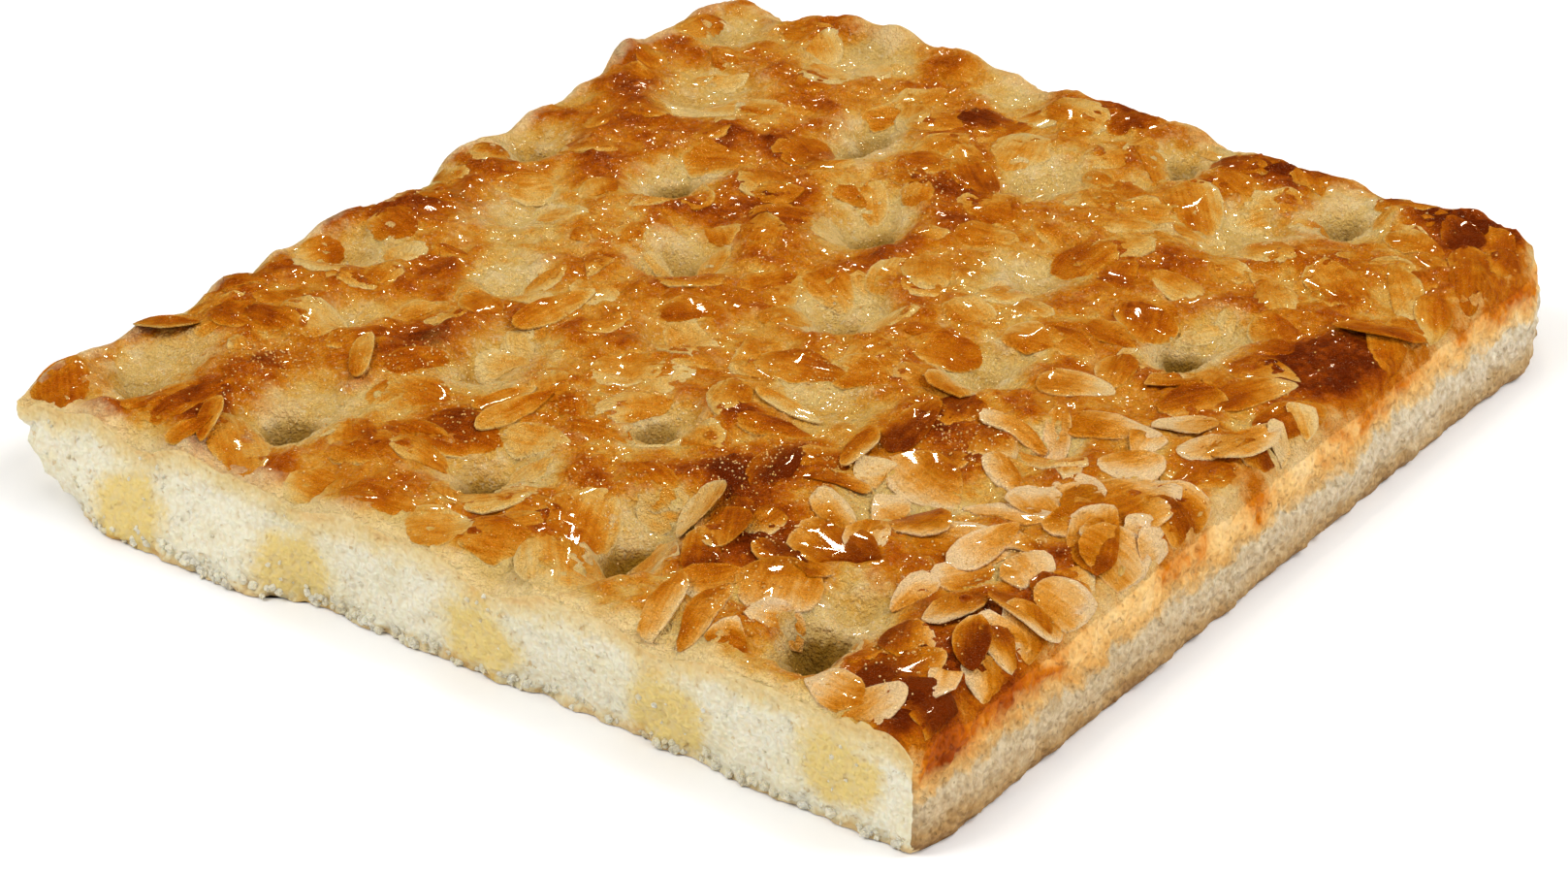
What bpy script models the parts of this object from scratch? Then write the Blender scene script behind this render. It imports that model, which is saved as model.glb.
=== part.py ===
"""Butter cake: the corner piece of a tray-baked yeast cake, pressed full of hollows and strewn
with flaked almonds. The front (-Y) and left (-X) faces are cut, the right (+X) and rear (+Y)
faces are baked. Metres, +Z up, the origin at the middle of the underside."""

import math
import random

import bpy
import bmesh
from mathutils import Matrix, Vector, noise

MM = 0.001
WIDTH = 230 * MM            # across the front, left cut to baked right side
DEPTH = 250 * MM            # front cut to baked rear side
CRUST = 26.0 * MM           # height of the dough between the hollows
RELIEF = 1.4 * MM           # soft unevenness of the crust
CORNER = 16 * MM            # radius of the rear right corner, which lay in the tray's corner
ROLL = 7 * MM               # how far the crust rounds over towards a baked side
ROLL_DROP = 5.5 * MM
CUT_ROUND = 1.6 * MM        # the crust pressed down by the knife along a cut
GRID = 6.4 * MM
SIDE_BULGE = 2.6 * MM       # the baked right side swells low down
FOOT_ROUND = 1.1 * MM
FLARE = 5.5 * MM            # the cut face slumps forward at its left end
UNDERCUT = 12.0 * MM        # the left end is drawn in under the front corner
CRUMB = 0.5 * MM            # torn unevenness of the cut faces
SLICE_THICK = 1.0 * MM
SLICE_DEEP = 3.5 * MM       # how far a fused slice reaches into the dough
SLICE_SIDES = 8
SLICES_IN_ALL = 118
SEED = 7

# Pressed hollows, in millimetres: middle x, y, half width, half length, depth.
HOLLOWS = (
    (-100, -102, 13, 18, 7.0), (-60, -98, 13, 19, 7.5), (-14, -92, 13, 15, 7.0),
    (26, -96, 12, 20, 7.5), (78, -98, 13, 19, 7.5),
    (-101, -36, 12, 14, 7.0), (-79, -61, 8, 10, 4.5), (-43, -57, 13, 15, 7.0),
    (4, -58, 9, 11, 6.0), (27, -30, 12, 12, 4.0), (86, -66, 10, 10, 4.0),
    (74, -19, 8, 9, 6.0), (60, -55, 10, 9, 3.0),
    (-84, 0, 13, 14, 5.5), (-63, -27, 11, 12, 4.5), (-40, 6, 12, 14, 8.0),
    (5, 4, 12, 14, 8.0), (44, 2, 11, 12, 5.5), (-18, -28, 8, 9, 4.0),
    (-104, 30, 12, 14, 6.5), (-63, 34, 11, 15, 6.5), (-16, 41, 13, 17, 8.0),
    (29, 42, 12, 13, 5.0), (75, 38, 13, 17, 8.0),
    (-86, 75, 14, 17, 6.5), (-41, 76, 12, 17, 6.5), (4, 82, 12, 15, 6.5),
    (53, 88, 15, 17, 5.5),
    (-102, 106, 10, 13, 5.0), (-68, 112, 13, 15, 5.5), (-24, 116, 11, 9, 3.0),
    (26, 113, 11, 14, 5.5), (70, 107, 13, 14, 6.0),
)

# Swellings of the rear rim: middle x, half width, height, all in millimetres.
REAR_RIM = ((-76, 15, 5.0), (-48, 7, 4.0), (-4, 15, 3.0), (40, 8, 1.5), (92, 13, 3.0), (-108, 10, -3.0))
LEFT_RIM = ((-2, 18, -3.5), (88, 22, 3.0), (-112, 10, 1.5), (-45, 10, 1.0))

# The largest almond slices: x, y, length, width in millimetres and turn in degrees.
SLICES = (
    (100, -30, 26, 17, 70), (103, -47, 20, 12, -60), (111, -47, 14, 13, 0), (110, -63, 14, 10, 10),
    (70, -96, 26, 17, -60), (65, -80, 26, 14, -20), (82, -62, 20, 14, 15), (80, -8, 20, 9, 15),
    (15, -100, 24, 13, -65), (22, -115, 20, 16, -50), (57, -114, 20, 8, -80), (45, -96, 20, 11, -65),
    (62, -46, 22, 13, -25), (49, -31, 18, 8, 95), (13, -23, 18, 11, 15), (25, -49, 15, 8, 15),
    (35, -61, 16, 10, -75), (107, -77, 18, 9, 0), (108, -93, 18, 10, -40), (99, -107, 17, 11, 70),
    (108, -114, 16, 12, -30), (-21, -118, 20, 10, 0), (-28, -86, 17, 14, 20), (-61, -115, 22, 14, -40),
    (-83, -69, 17, 13, -30), (-108, -117, 16, 11, -45), (-80, -110, 20, 8, 80), (-15, -44, 15, 13, 30),
    (-3, -58, 15, 12, 60), (105, 63, 18, 9, 35), (97, 23, 19, 9, 65), (107, 19, 17, 9, 75),
    (107, 2, 20, 9, 80), (88, 76, 22, 13, -40), (104, 98, 22, 9, -60), (41, 90, 22, 12, -50),
    (99, 82, 22, 10, -50), (-46, 61, 17, 12, -20), (-62, 49, 16, 13, 10), (-8, 74, 18, 9, -45),
)


def smooth(t):
    t = min(max(t, 0.0), 1.0)
    return t * t * (3 - 2 * t)


def hollow_depth(x, y):
    """Depth of the pressed hollows at a point, blended where two of them meet."""
    total = 0.0
    for cx, cy, rx, ry, deep in HOLLOWS:
        away = math.hypot((x / MM - cx) / rx, (y / MM - cy) / ry) / 1.15
        if away < 1:
            total += (deep * (1 - smooth(away))) ** 3
    return total ** (1 / 3) * MM


def rim(swellings, along, inward):
    """Height of the swellings of one rim, fading out 18 mm inside it."""
    fade = 1 - smooth(inward / (18 * MM))
    return fade * MM * sum(h * math.exp(-((along / MM - c) / w) ** 2) for c, w, h in swellings)


def crust_height(x, y):
    """Height of the cake's upper surface."""
    z = CRUST - hollow_depth(x, y)
    z += RELIEF * noise.noise(Vector((x, y, 0.0)) / (19 * MM))
    z += rim(REAR_RIM, x, DEPTH / 2 - y) + rim(LEFT_RIM, y, WIDTH / 2 + x)
    front = y + DEPTH / 2
    z -= 3.5 * MM * (1 - smooth(front / (13 * MM))) * (1 - smooth((x - 20 * MM) / (60 * MM)))
    near = min(front, x + WIDTH / 2)
    z -= CUT_ROUND * (1 - smooth(near / (4 * MM)))
    baked = baked_edge_distance(x, y)
    if baked < ROLL:
        z -= ROLL_DROP * (1 - math.sqrt(max(1 - (1 - baked / ROLL) ** 2, 0)))
    return z


def baked_edge_distance(x, y):
    """Distance to the nearer baked side, round the rear right corner as well."""
    cx, cy = WIDTH / 2 - CORNER, DEPTH / 2 - CORNER
    if x > cx and y > cy:
        return max(CORNER - math.hypot(x - cx, y - cy), 0.0)
    return max(min(WIDTH / 2 - x, DEPTH / 2 - y), 0.0)


def grid_lines(length):
    """Grid positions from the cut edge to the baked edge, closer where the crust rounds over."""
    lines = [-length / 2, -length / 2 + 2.5 * MM]
    run = length - ROLL - 2.5 * MM
    steps = round(run / GRID)
    lines += [lines[1] + run * (i + 1) / steps for i in range(steps)]
    lines += [length / 2 - ROLL * (1 - math.sin(math.radians(a))) for a in (30, 58, 90)]
    return lines


def plan_point(x, y):
    """Bends the grid's square corner into the rounded rear right corner."""
    cx, cy = WIDTH / 2 - CORNER, DEPTH / 2 - CORNER
    if x > cx and y > cy:
        a, b = (x - cx) / CORNER, (y - cy) / CORNER
        x = cx + CORNER * a * math.sqrt(1 - b * b / 2)
        y = cy + CORNER * b * math.sqrt(1 - a * a / 2)
    return x, y


def side_shift(x, y, down):
    """Sideways shift of a side point; down runs from 0 at the crust to 1 at the foot."""
    dx = dy = 0.0
    torn = Vector((x, y, down * 20 * MM)) / (6 * MM)
    if x > WIDTH / 2 - 0.4 * CORNER:
        dx += SIDE_BULGE * smooth(down / 0.75) * smooth((y + DEPTH / 2) / (30 * MM))
        dx -= FOOT_ROUND * smooth((down - 0.85) / 0.15)
    if y > DEPTH / 2 - 0.4 * CORNER:
        dy += 1.5 * MM * math.sin(math.pi * down) - FOOT_ROUND * smooth((down - 0.85) / 0.15)
        dy += rim(REAR_RIM, x, 0) * 0.5 * (1 - smooth(down / 0.6))
    ahead, aside = y + DEPTH / 2, x + WIDTH / 2
    if ahead < 0.1 * MM or aside < 0.1 * MM:
        slump = (1 - smooth((x + 55 * MM) / (60 * MM))) * (1 - smooth(ahead / (40 * MM)))
        dy -= FLARE * slump * smooth((down - 0.15) / 0.85)
        corner = (1 - smooth(ahead / (65 * MM))) * (1 - smooth(aside / (50 * MM)))
        dx += UNDERCUT * corner * smooth((down - 0.2) / 0.8)
        rough = CRUMB * noise.noise(torn) * (1 if down > 0 else 0.3)
        if ahead < 0.1 * MM:
            dy += rough + 1.5 * MM * math.exp(-((x / MM - 45) / 35) ** 2) * down
        else:
            dx += rough + 1.5 * MM * smooth((down - 0.2) / 0.8)
    return dx, dy


def slab_mesh():
    """The cake without its almonds: an uneven top, four sides and a flat underside."""
    xs, ys = grid_lines(WIDTH), grid_lines(DEPTH)
    mesh = bmesh.new()
    top = []
    for y in ys:
        row = []
        for x in xs:
            px, py = plan_point(x, y)
            row.append(mesh.verts.new((px, py, crust_height(px, py))))
        top.append(row)
    for j in range(len(ys) - 1):
        for i in range(len(xs) - 1):
            mesh.faces.new((top[j][i], top[j][i + 1], top[j + 1][i + 1], top[j + 1][i]))
    ring = top[0][:-1] + [row[-1] for row in top[:-1]] + top[-1][:0:-1] + [row[0] for row in top[:0:-1]]
    corners = [v.co.copy() for v in ring]
    for vert, at in zip(ring, corners):
        dx, dy = side_shift(at.x, at.y, 0.0)
        vert.co += Vector((dx, dy, 0))
    above = ring
    for down in (0.22, 0.45, 0.7, 0.88, 1.0):
        below = []
        for at in corners:
            dx, dy = side_shift(at.x, at.y, down)
            below.append(mesh.verts.new((at.x + dx, at.y + dy, at.z * (1 - down))))
        for k in range(len(ring)):
            n = (k + 1) % len(ring)
            mesh.faces.new((above[n], above[k], below[k], below[n]))
        above = below
    mesh.faces.new(above[::-1])
    bmesh.ops.triangulate(mesh, faces=mesh.faces[:])
    return mesh


def object_of(mesh, name):
    data = bpy.data.meshes.new(name)
    mesh.to_mesh(data)
    mesh.free()
    return bpy.data.objects.new(name, data)


def lie_of(x, y, length, width, turn):
    """The plane a slice lies on: the crust's mean slope under it, raised onto its high spots."""
    spots = []
    for i in range(8):
        t = math.tau * i / 8
        px = x + 0.42 * (length * math.cos(t) * math.cos(turn) - width * math.sin(t) * math.sin(turn))
        py = y + 0.42 * (length * math.cos(t) * math.sin(turn) + width * math.sin(t) * math.cos(turn))
        spots.append((px - x, py - y, crust_height(px, py)))
    spread = sum(a * a for a, _, _ in spots), sum(b * b for _, b, _ in spots), sum(a * b for a, b, _ in spots)
    az, bz = sum(a * z for a, _, z in spots), sum(b * z for _, b, z in spots)
    lot = spread[0] * spread[1] - spread[2] ** 2
    slope_x = (az * spread[1] - bz * spread[2]) / lot
    slope_y = (bz * spread[0] - az * spread[2]) / lot
    over = sorted(z - a * slope_x - b * slope_y for a, b, z in spots)
    return 0.5 * (over[4] + over[5]), slope_x, slope_y


def almond_slice(x, y, length, width, turn):
    """One flaked almond: a drop-shaped plate, rooted in the dough below it."""
    height, slope_x, slope_y = lie_of(x, y, length, width, turn)
    mesh = bmesh.new()
    rings = []
    for lift, scale, over in ((-SLICE_DEEP, 0.86, -2.5 * MM), (SLICE_THICK * 0.9, 1.0, 0.6 * MM)):
        ring = []
        for i in range(SLICE_SIDES):
            t = math.tau * (i + 0.5) / SLICE_SIDES
            a = scale * length / 2 * math.cos(t)
            b = scale * width / 2 * math.sin(t) * (1 - 0.22 * math.cos(t))
            px, py = a * math.cos(turn) - b * math.sin(turn), a * math.sin(turn) + b * math.cos(turn)
            px = min(max(px, -WIDTH / 2 - over - x), WIDTH / 2 + over - x)
            py = min(max(py, -DEPTH / 2 - over - y), DEPTH / 2 + over - y)
            ring.append(mesh.verts.new((x + px, y + py, height + lift + px * slope_x + py * slope_y)))
        rings.append(ring)
    low, high = rings
    mesh.faces.new(low[::-1])
    mesh.faces.new(high)
    for i in range(SLICE_SIDES):
        n = (i + 1) % SLICE_SIDES
        mesh.faces.new((low[i], low[n], high[n], high[i]))
    bmesh.ops.triangulate(mesh, faces=mesh.faces[:])
    return object_of(mesh, "slice")


def slice_places():
    """The large slices, then smaller ones dealt out evenly, thicker on the right and off the hollows."""
    draw = random.Random(SEED)
    places = [(x * MM, y * MM, l * MM, w * MM, math.radians(a)) for x, y, l, w, a in SLICES]
    while len(places) < SLICES_IN_ALL:
        x = draw.uniform(-0.48, 0.47) * WIDTH
        y = draw.uniform(-0.48, 0.47) * DEPTH
        if draw.random() > 0.35 + 0.65 * smooth(x / WIDTH + 0.5 - 0.3 * y / DEPTH):
            continue
        if hollow_depth(x, y) > 3.0 * MM or baked_edge_distance(x, y) < 5 * MM:
            continue
        if all(math.hypot(x - p[0], y - p[1]) > 12.5 * MM for p in places):
            places.append((x, y, draw.uniform(10, 15) * MM, draw.uniform(7, 10) * MM, draw.uniform(0, math.pi)))
    return places


def fuse(slab, pieces):
    """Joins the slices to the slab as one body."""
    heap = bpy.data.collections.new("slices")
    bpy.context.scene.collection.children.link(heap)
    for piece in pieces:
        heap.objects.link(piece)
    join = slab.modifiers.new("fuse", "BOOLEAN")
    join.operation = "UNION"
    join.operand_type = "COLLECTION"
    join.collection = heap
    join.solver = "MANIFOLD"
    bpy.context.view_layer.objects.active = slab
    slab.select_set(True)
    bpy.ops.object.modifier_apply(modifier=join.name)
    for piece in list(heap.objects):
        bpy.data.objects.remove(piece)
    bpy.data.collections.remove(heap)


def crust_material():
    """Golden brown crust under a thin sugar and butter glaze."""
    material = bpy.data.materials.new("golden_crust")
    material.use_nodes = True
    shader = material.node_tree.nodes["Principled BSDF"]
    shader.inputs["Base Color"].default_value = (0.62, 0.31, 0.08, 1)
    shader.inputs["Roughness"].default_value = 0.35
    return material


def crumb_material():
    """Pale, dry crumb of the cut faces and the underside."""
    material = bpy.data.materials.new("pale_crumb")
    material.use_nodes = True
    shader = material.node_tree.nodes["Principled BSDF"]
    shader.inputs["Base Color"].default_value = (0.80, 0.74, 0.55, 1)
    shader.inputs["Roughness"].default_value = 0.85
    return material


def clear_scene():
    for thing in list(bpy.data.objects):
        bpy.data.objects.remove(thing)


def colour(slab):
    """Crust above, crumb on the sides and below."""
    slab.data.materials.append(crust_material())
    slab.data.materials.append(crumb_material())
    for face in slab.data.polygons:
        face.material_index = 0 if face.normal.z > 0.3 else 1


def centre(slab):
    """Puts the middle of the piece's box over the origin and its underside at z = 0."""
    points = [v.co for v in slab.data.vertices]
    middle = [(min(p[k] for p in points) + max(p[k] for p in points)) / 2 for k in (0, 1)]
    slab.data.transform(Matrix.Translation((-middle[0], -middle[1], -min(p.z for p in points))))


def main():
    clear_scene()
    slab = object_of(slab_mesh(), "butter_cake")
    bpy.context.scene.collection.objects.link(slab)
    fuse(slab, [almond_slice(*place) for place in slice_places()])
    centre(slab)
    colour(slab)


main()
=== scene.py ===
import math
import random

import bmesh
import bpy
import numpy as np
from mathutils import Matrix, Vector
from mathutils.bvhtree import BVHTree
from mathutils.kdtree import KDTree


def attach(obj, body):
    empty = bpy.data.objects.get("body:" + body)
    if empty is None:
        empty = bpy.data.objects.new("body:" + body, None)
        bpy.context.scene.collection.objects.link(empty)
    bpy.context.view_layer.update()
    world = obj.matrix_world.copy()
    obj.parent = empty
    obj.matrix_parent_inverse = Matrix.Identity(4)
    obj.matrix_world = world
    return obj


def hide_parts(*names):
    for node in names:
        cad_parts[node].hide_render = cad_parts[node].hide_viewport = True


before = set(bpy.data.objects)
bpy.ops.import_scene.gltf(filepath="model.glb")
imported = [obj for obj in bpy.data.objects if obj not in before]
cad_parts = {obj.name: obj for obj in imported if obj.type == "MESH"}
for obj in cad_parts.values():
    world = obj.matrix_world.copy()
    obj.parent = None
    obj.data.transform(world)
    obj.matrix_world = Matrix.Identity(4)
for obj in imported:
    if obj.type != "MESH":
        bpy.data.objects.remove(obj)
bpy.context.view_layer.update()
bpy.ops.object.select_all(action="DESELECT")

# ------------------------------------------------------------------------------------------
# The baked slab. One sheet of yeast dough, pressed full of hollows with the fingertips and
# baked on a tray; this is the tray's corner piece, so its front and left faces were cut with
# a knife, and its right and rear sides are baked.
# ------------------------------------------------------------------------------------------
mm = 0.001
wide, deep, thick = 230, 250, 26.0
to_side, to_back = wide / 2, deep / 2  # from the slab's middle, where all plan places start
edge_x, edge_y = to_side - 0.1, to_back - 0.1  # what lies past these is on the slab's edge
box_middle = (1.2, -1.5)  # the middle of the slab's box, shifted by its swollen sides
hollows = (  # middle x, y, half width, half length, depth
    (-100, -102, 13, 18, 7.0), (-60, -98, 13, 19, 7.5), (-14, -92, 13, 15, 7.0),
    (26, -96, 12, 20, 7.5), (78, -98, 13, 19, 7.5),
    (-101, -36, 12, 14, 7.0), (-79, -61, 8, 10, 4.5), (-43, -57, 13, 15, 7.0),
    (4, -58, 9, 11, 6.0), (27, -30, 12, 12, 4.0), (86, -66, 10, 10, 4.0),
    (74, -19, 8, 9, 6.0), (60, -55, 10, 9, 3.0),
    (-84, 0, 13, 14, 5.5), (-63, -27, 11, 12, 4.5), (-40, 6, 12, 14, 8.0),
    (5, 4, 12, 14, 8.0), (44, 2, 11, 12, 5.5), (-18, -28, 8, 9, 4.0),
    (-104, 30, 12, 14, 6.5), (-63, 34, 11, 15, 6.5), (-16, 41, 13, 17, 8.0),
    (29, 42, 12, 13, 5.0), (75, 38, 13, 17, 8.0),
    (-86, 75, 14, 17, 6.5), (-41, 76, 12, 17, 6.5), (4, 82, 12, 15, 6.5),
    (53, 88, 15, 17, 5.5),
    (-102, 106, 10, 13, 5.0), (-68, 112, 13, 15, 5.5), (-24, 116, 11, 9, 3.0),
    (26, 113, 11, 14, 5.5), (70, 107, 13, 14, 6.0),
)
pits = (  # the fingertip's own mark at the bottom of the deep hollows: x, y, reach, depth
    (-100, -107, 7, 3.0), (-60, -102, 7, 3.5), (-14, -95, 7, 4.5), (26, -100, 8, 4.5),
    (75, -104, 8, 5.0), (-103, -38, 6, 2.5), (-43, -61, 6, 3.0), (4, -60, 6, 3.0),
    (74, -20, 5, 3.0), (-40, 5, 7, 4.0), (5, 2, 7, 3.5), (44, 1, 5, 2.0), (-104, 28, 6, 3.0),
    (-63, 31, 6, 3.0), (-16, 38, 8, 4.0), (73, 35, 8, 4.5), (31, 39, 6, 2.5), (-88, 70, 7, 2.0),
    (-41, 71, 7, 2.5), (4, 79, 7, 2.5), (-102, 104, 6, 2.5), (26, 110, 7, 2.5), (70, 104, 8, 3.0),
)
# the last column is how dark the hole is painted: painted shade over the wet dough at its bottom
torn = (  # where the finger went through the film: x, y, reach, depth, how dark
    (-11, -99, 5.5, 5.0, 1.0), (30, -102, 7.5, 6.0, 1.0), (79, -108, 8, 6.5, 1.0),
    (74, 30, 6.5, 5.0, 1.0), (-35, -1, 6, 4.0, 0.85), (-10, 38, 6.5, 4.5, 0.85),
    (-61, 31, 5.5, 3.5, 0.75), (-58, -104, 6, 3.5, 0.8), (71, 108, 5.5, 2.5, 0.5),
    (3, -62, 4.5, 2.5, 0.7), (-95, -112, 5.5, 2.5, 0.7), (-99, 26, 5, 3.0, 0.55),
    (-39, 77, 5.5, 3.0, 0.6), (27, 107, 5, 2.5, 0.5), (7, -1, 5, 3.0, 0.5),
)

bpy.ops.mesh.primitive_grid_add(x_subdivisions=wide, y_subdivisions=deep, size=1)
cake = bpy.context.object
cake.name = "cake"
bpy.ops.object.mode_set(mode="EDIT")
bpy.ops.mesh.select_mode(type="VERT")
bpy.ops.transform.resize(value=(wide * mm, deep * mm, 1))
bpy.ops.transform.translate(value=(0, 0, thick * mm))
dough = bmesh.from_edit_mesh(cake.data)
top_points = len(dough.verts)
plan = KDTree(top_points)
for v in dough.verts:
    plan.insert((v.co.x, v.co.y, 0), v.index)
plan.balance()
by_row = np.lexsort(([round(v.co.x / mm) for v in dough.verts], [round(v.co.y / mm) for v in dough.verts]))


def soft_move(move, reach, falloff):
    """Moves the selected points of the slab, and what lies within a reach round them."""
    bpy.ops.transform.translate(
        value=[m * mm for m in move], use_proportional_edit=True,
        proportional_edit_falloff=falloff, proportional_size=reach * mm,
    )


def push(x, y, move, reach, stretch=0.0, falloff="SMOOTH"):
    """Moves the crust softly round a plan point; stretch lengthens the push along y."""
    bpy.ops.mesh.select_all(action="DESELECT")
    bm = bmesh.from_edit_mesh(cake.data)
    bm.verts.ensure_lookup_table()
    steps = max(1, round(stretch / 2))
    for k in range(-steps if stretch > 0 else 0, steps + 1 if stretch > 0 else 1):
        at = (x * mm, (y + stretch * k / steps) * mm, 0)
        bm.verts[plan.find(at)[1]].select = True
    bm.select_flush(True)
    soft_move(move, reach, falloff)


fingers = random.Random(5)
for x, y, half_x, half_y, down in hollows:
    down *= 1 - 0.3 * min(1, max(0, y) / 60)  # the rear ones have almost closed again
    push(x, y, (0, 0, -0.62 * down), half_x * 1.2, half_y - half_x if half_y > half_x + 1 else 0)
    for _ in range(5):  # no two marks are alike: lobes beside the middle of each
        turn, out = fingers.uniform(0, math.tau), fingers.uniform(0.3, 1.0)
        push(x + out * half_x * math.cos(turn), y + out * half_y * math.sin(turn),
             (0, 0, fingers.uniform(-0.32, 0.14) * down), half_x * fingers.uniform(0.4, 0.75))
for x, y, reach, down in pits:
    push(x, y, (0, 0, -down), reach)
for x, y, reach, down, dark in torn:
    push(x, y, (0, 0, -0.6 * down), reach, 2.5, "SPHERE")
    for _ in range(7):  # the film tore raggedly, so the hole has steep broken edges
        turn, out = fingers.uniform(0, math.tau), fingers.uniform(0, 0.5) * reach
        push(x + out * math.cos(turn), y + 1.3 * out * math.sin(turn), (0, 0, -0.22 * down),
             reach * fingers.uniform(0.28, 0.45), 0, "CONSTANT")

# the rims: swollen between the hollows, sunk where a hollow was cut through
rear_rim = (  # middle x, rise, reach
    (-80, 4.0, 17), (-66, 3.5, 17), (-46, 4.5, 17), (-10, 3.0, 17), (6, 2.5, 17), (40, 1.5, 17),
    (88, 2.0, 17), (-108, -2.0, 17), (-96, -6.0, 9), (-78, 2.0, 9), (-64, 4.0, 12), (-42, 1.5, 8),
    (-30, 4.0, 11), (3, 1.2, 9), (21, 4.5, 11), (62, 3.0, 12), (97, 4.0, 12), (109, 4.0, 10),
)
left_rim = (  # middle y, rise, reach
    (-2, -3.5, 18), (78, 2.5, 18), (98, 2.5, 18), (-112, 0.5, 18), (-98, -1.4, 9), (-76, -4.2, 13),
    (-56, -3.6, 11), (-40, -1.8, 10), (-14, -3.4, 11), (4, -3.6, 12), (19, 0.2, 7), (35, -2.2, 11),
    (54, -2.6, 12), (69, -3.0, 9), (79, 2.2, 8), (100, -1.6, 9), (109, 1.4, 8), (-118, 1.1, 8),
)
front_rim = (  # middle x, rise
    (-106, -3.0), (-82, -4.5), (-56, -2.0), (-38, -3.5), (-10, -1.0), (12, -5.0), (54, -3.0), (95, -1.0),
)
for x, up, reach in rear_rim:
    push(x, to_back, (0, 0.2 * up, up), reach)
for y, up, reach in left_rim:
    push(-to_side, y, (0, 0, up), reach)
for x, up in front_rim:
    push(x, -to_back, (0, 0, up), 15)
push(112, -118, (0, 0, 2.0), 12)  # the front right corner stands up


def push_rim(picked, move, reach):
    """Moves the picked part of the crust's edge, sharply falling off inwards."""
    bpy.ops.mesh.select_all(action="DESELECT")
    bm = bmesh.from_edit_mesh(cake.data)
    for v in bm.verts:
        v.select = v.is_boundary and picked(v.co.x / mm, v.co.y / mm)
    bm.select_flush(True)
    soft_move(move, reach, "SHARP")


# the tray's corner rounds the outline, the crust rolls over towards the baked sides, and the
# knife drags it down a little along both cuts
push(to_side, to_back, (-3.6, -3.6, 0), 15)
push_rim(lambda x, y: x > edge_x or (x > 102 and y > 112), (0, 0, -6.0), 8.5)
push_rim(lambda x, y: y > edge_y and x < 102, (0, 0, -3.6), 7)
push_rim(lambda x, y: x < -edge_x or y < -edge_y, (0, 0, -1.4), 3)

# the four sides are drawn down from the rim in rows, and the underside is closed flat
rows = 26
bpy.ops.mesh.select_all(action="DESELECT")
bpy.ops.mesh.select_non_manifold()
for k in range(rows):
    bpy.ops.mesh.extrude_region_move(TRANSFORM_OT_translate={"value": (0, 0, 0)})
    bpy.ops.transform.resize(value=(1, 1, (rows - k - 1) / (rows - k)), center_override=(0, 0, 0))
bpy.ops.mesh.edge_face_add()
bpy.ops.mesh.quads_convert_to_tris()


def push_side(picked, move, reach):
    """Moves the picked points of the sides, and softly what lies round them."""
    bpy.ops.mesh.select_all(action="DESELECT")
    bm = bmesh.from_edit_mesh(cake.data)
    for v in bm.verts:
        v.select = picked(v.co.x / mm, v.co.y / mm, v.co.z / mm)
    bm.select_flush(True)
    soft_move(move, reach, "SMOOTH")


# the cut face slumps forward at its left end, and that corner is drawn in below
push_side(lambda x, y, z: y < -edge_y and z < 2 and -104 < x < -52, (0, -5.5, 0), 19)
push_side(lambda x, y, z: x < -108 and y < -114 and z < 1.5, (12, 0, 0), 19)
push_side(lambda x, y, z: x < -114 and y < -120 and 10 < z < 15, (-3.6, -0.8, 0), 8)
push_side(lambda x, y, z: y < -edge_y and z < 3 and 25 < x < 62, (0, 1.2, 0), 14)
push_side(lambda x, y, z: x < -106 and y < -122 and 7 < z < 11.5, (-4.5, -0.5, 0), 7)
# the baked right side swells low down, and the feet of both baked sides are rounded under
push_side(lambda x, y, z: x > edge_x and z < 9 and -116 < y < 105, (2.3, 0, 0), 9)
push_side(lambda x, y, z: y > edge_y and z < 12 and -100 < x < 95, (0, 1.4, 0), 10)
push_side(lambda x, y, z: x > 98 and y > 108 and z < 14, (1.4, 0.7, 0), 11)
push_side(lambda x, y, z: x > 114 and z < 0.5, (-1.3, 0, 0), 2.6)
push_side(lambda x, y, z: y > 122 and z < 0.5, (0, -1.3, 0), 2.6)
# a lip of crust stands out over the front left corner
push_side(lambda x, y, z: x < -113 and y < -123.5 and z > 19, (-1.0, -1.2, -2.4), 4.5)
dough = bmesh.from_edit_mesh(cake.data)
for v in dough.verts:  # below it the crumb broke away slantwise
    x, y, z = v.co / mm
    away, along = min(1, max(0, (-70 - x) / 45)), min(1, max(0, 1 - (y + to_back) / 35))
    v.co.x += 7 * mm * max(0, 1 - z / 12) * away * along

# the roll of crust over the baked sides is even
bpy.ops.mesh.select_all(action="DESELECT")
dough = bmesh.from_edit_mesh(cake.data)
for v in dough.verts:
    x, y, z = v.co / mm
    v.select = z > 11 and (x > 108.5 or (y > 119.5 and x > -110)) and y > -123
dough.select_flush(True)
bpy.ops.mesh.vertices_smooth(factor=0.5, repeat=12)
bpy.ops.object.mode_set(mode="OBJECT")


def points_of(mesh):
    """The mesh's points in millimetres."""
    flat = np.empty(len(mesh.vertices) * 3, np.float32)
    mesh.vertices.foreach_get("co", flat)
    return flat.reshape(-1, 3).astype(float) / mm


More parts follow.
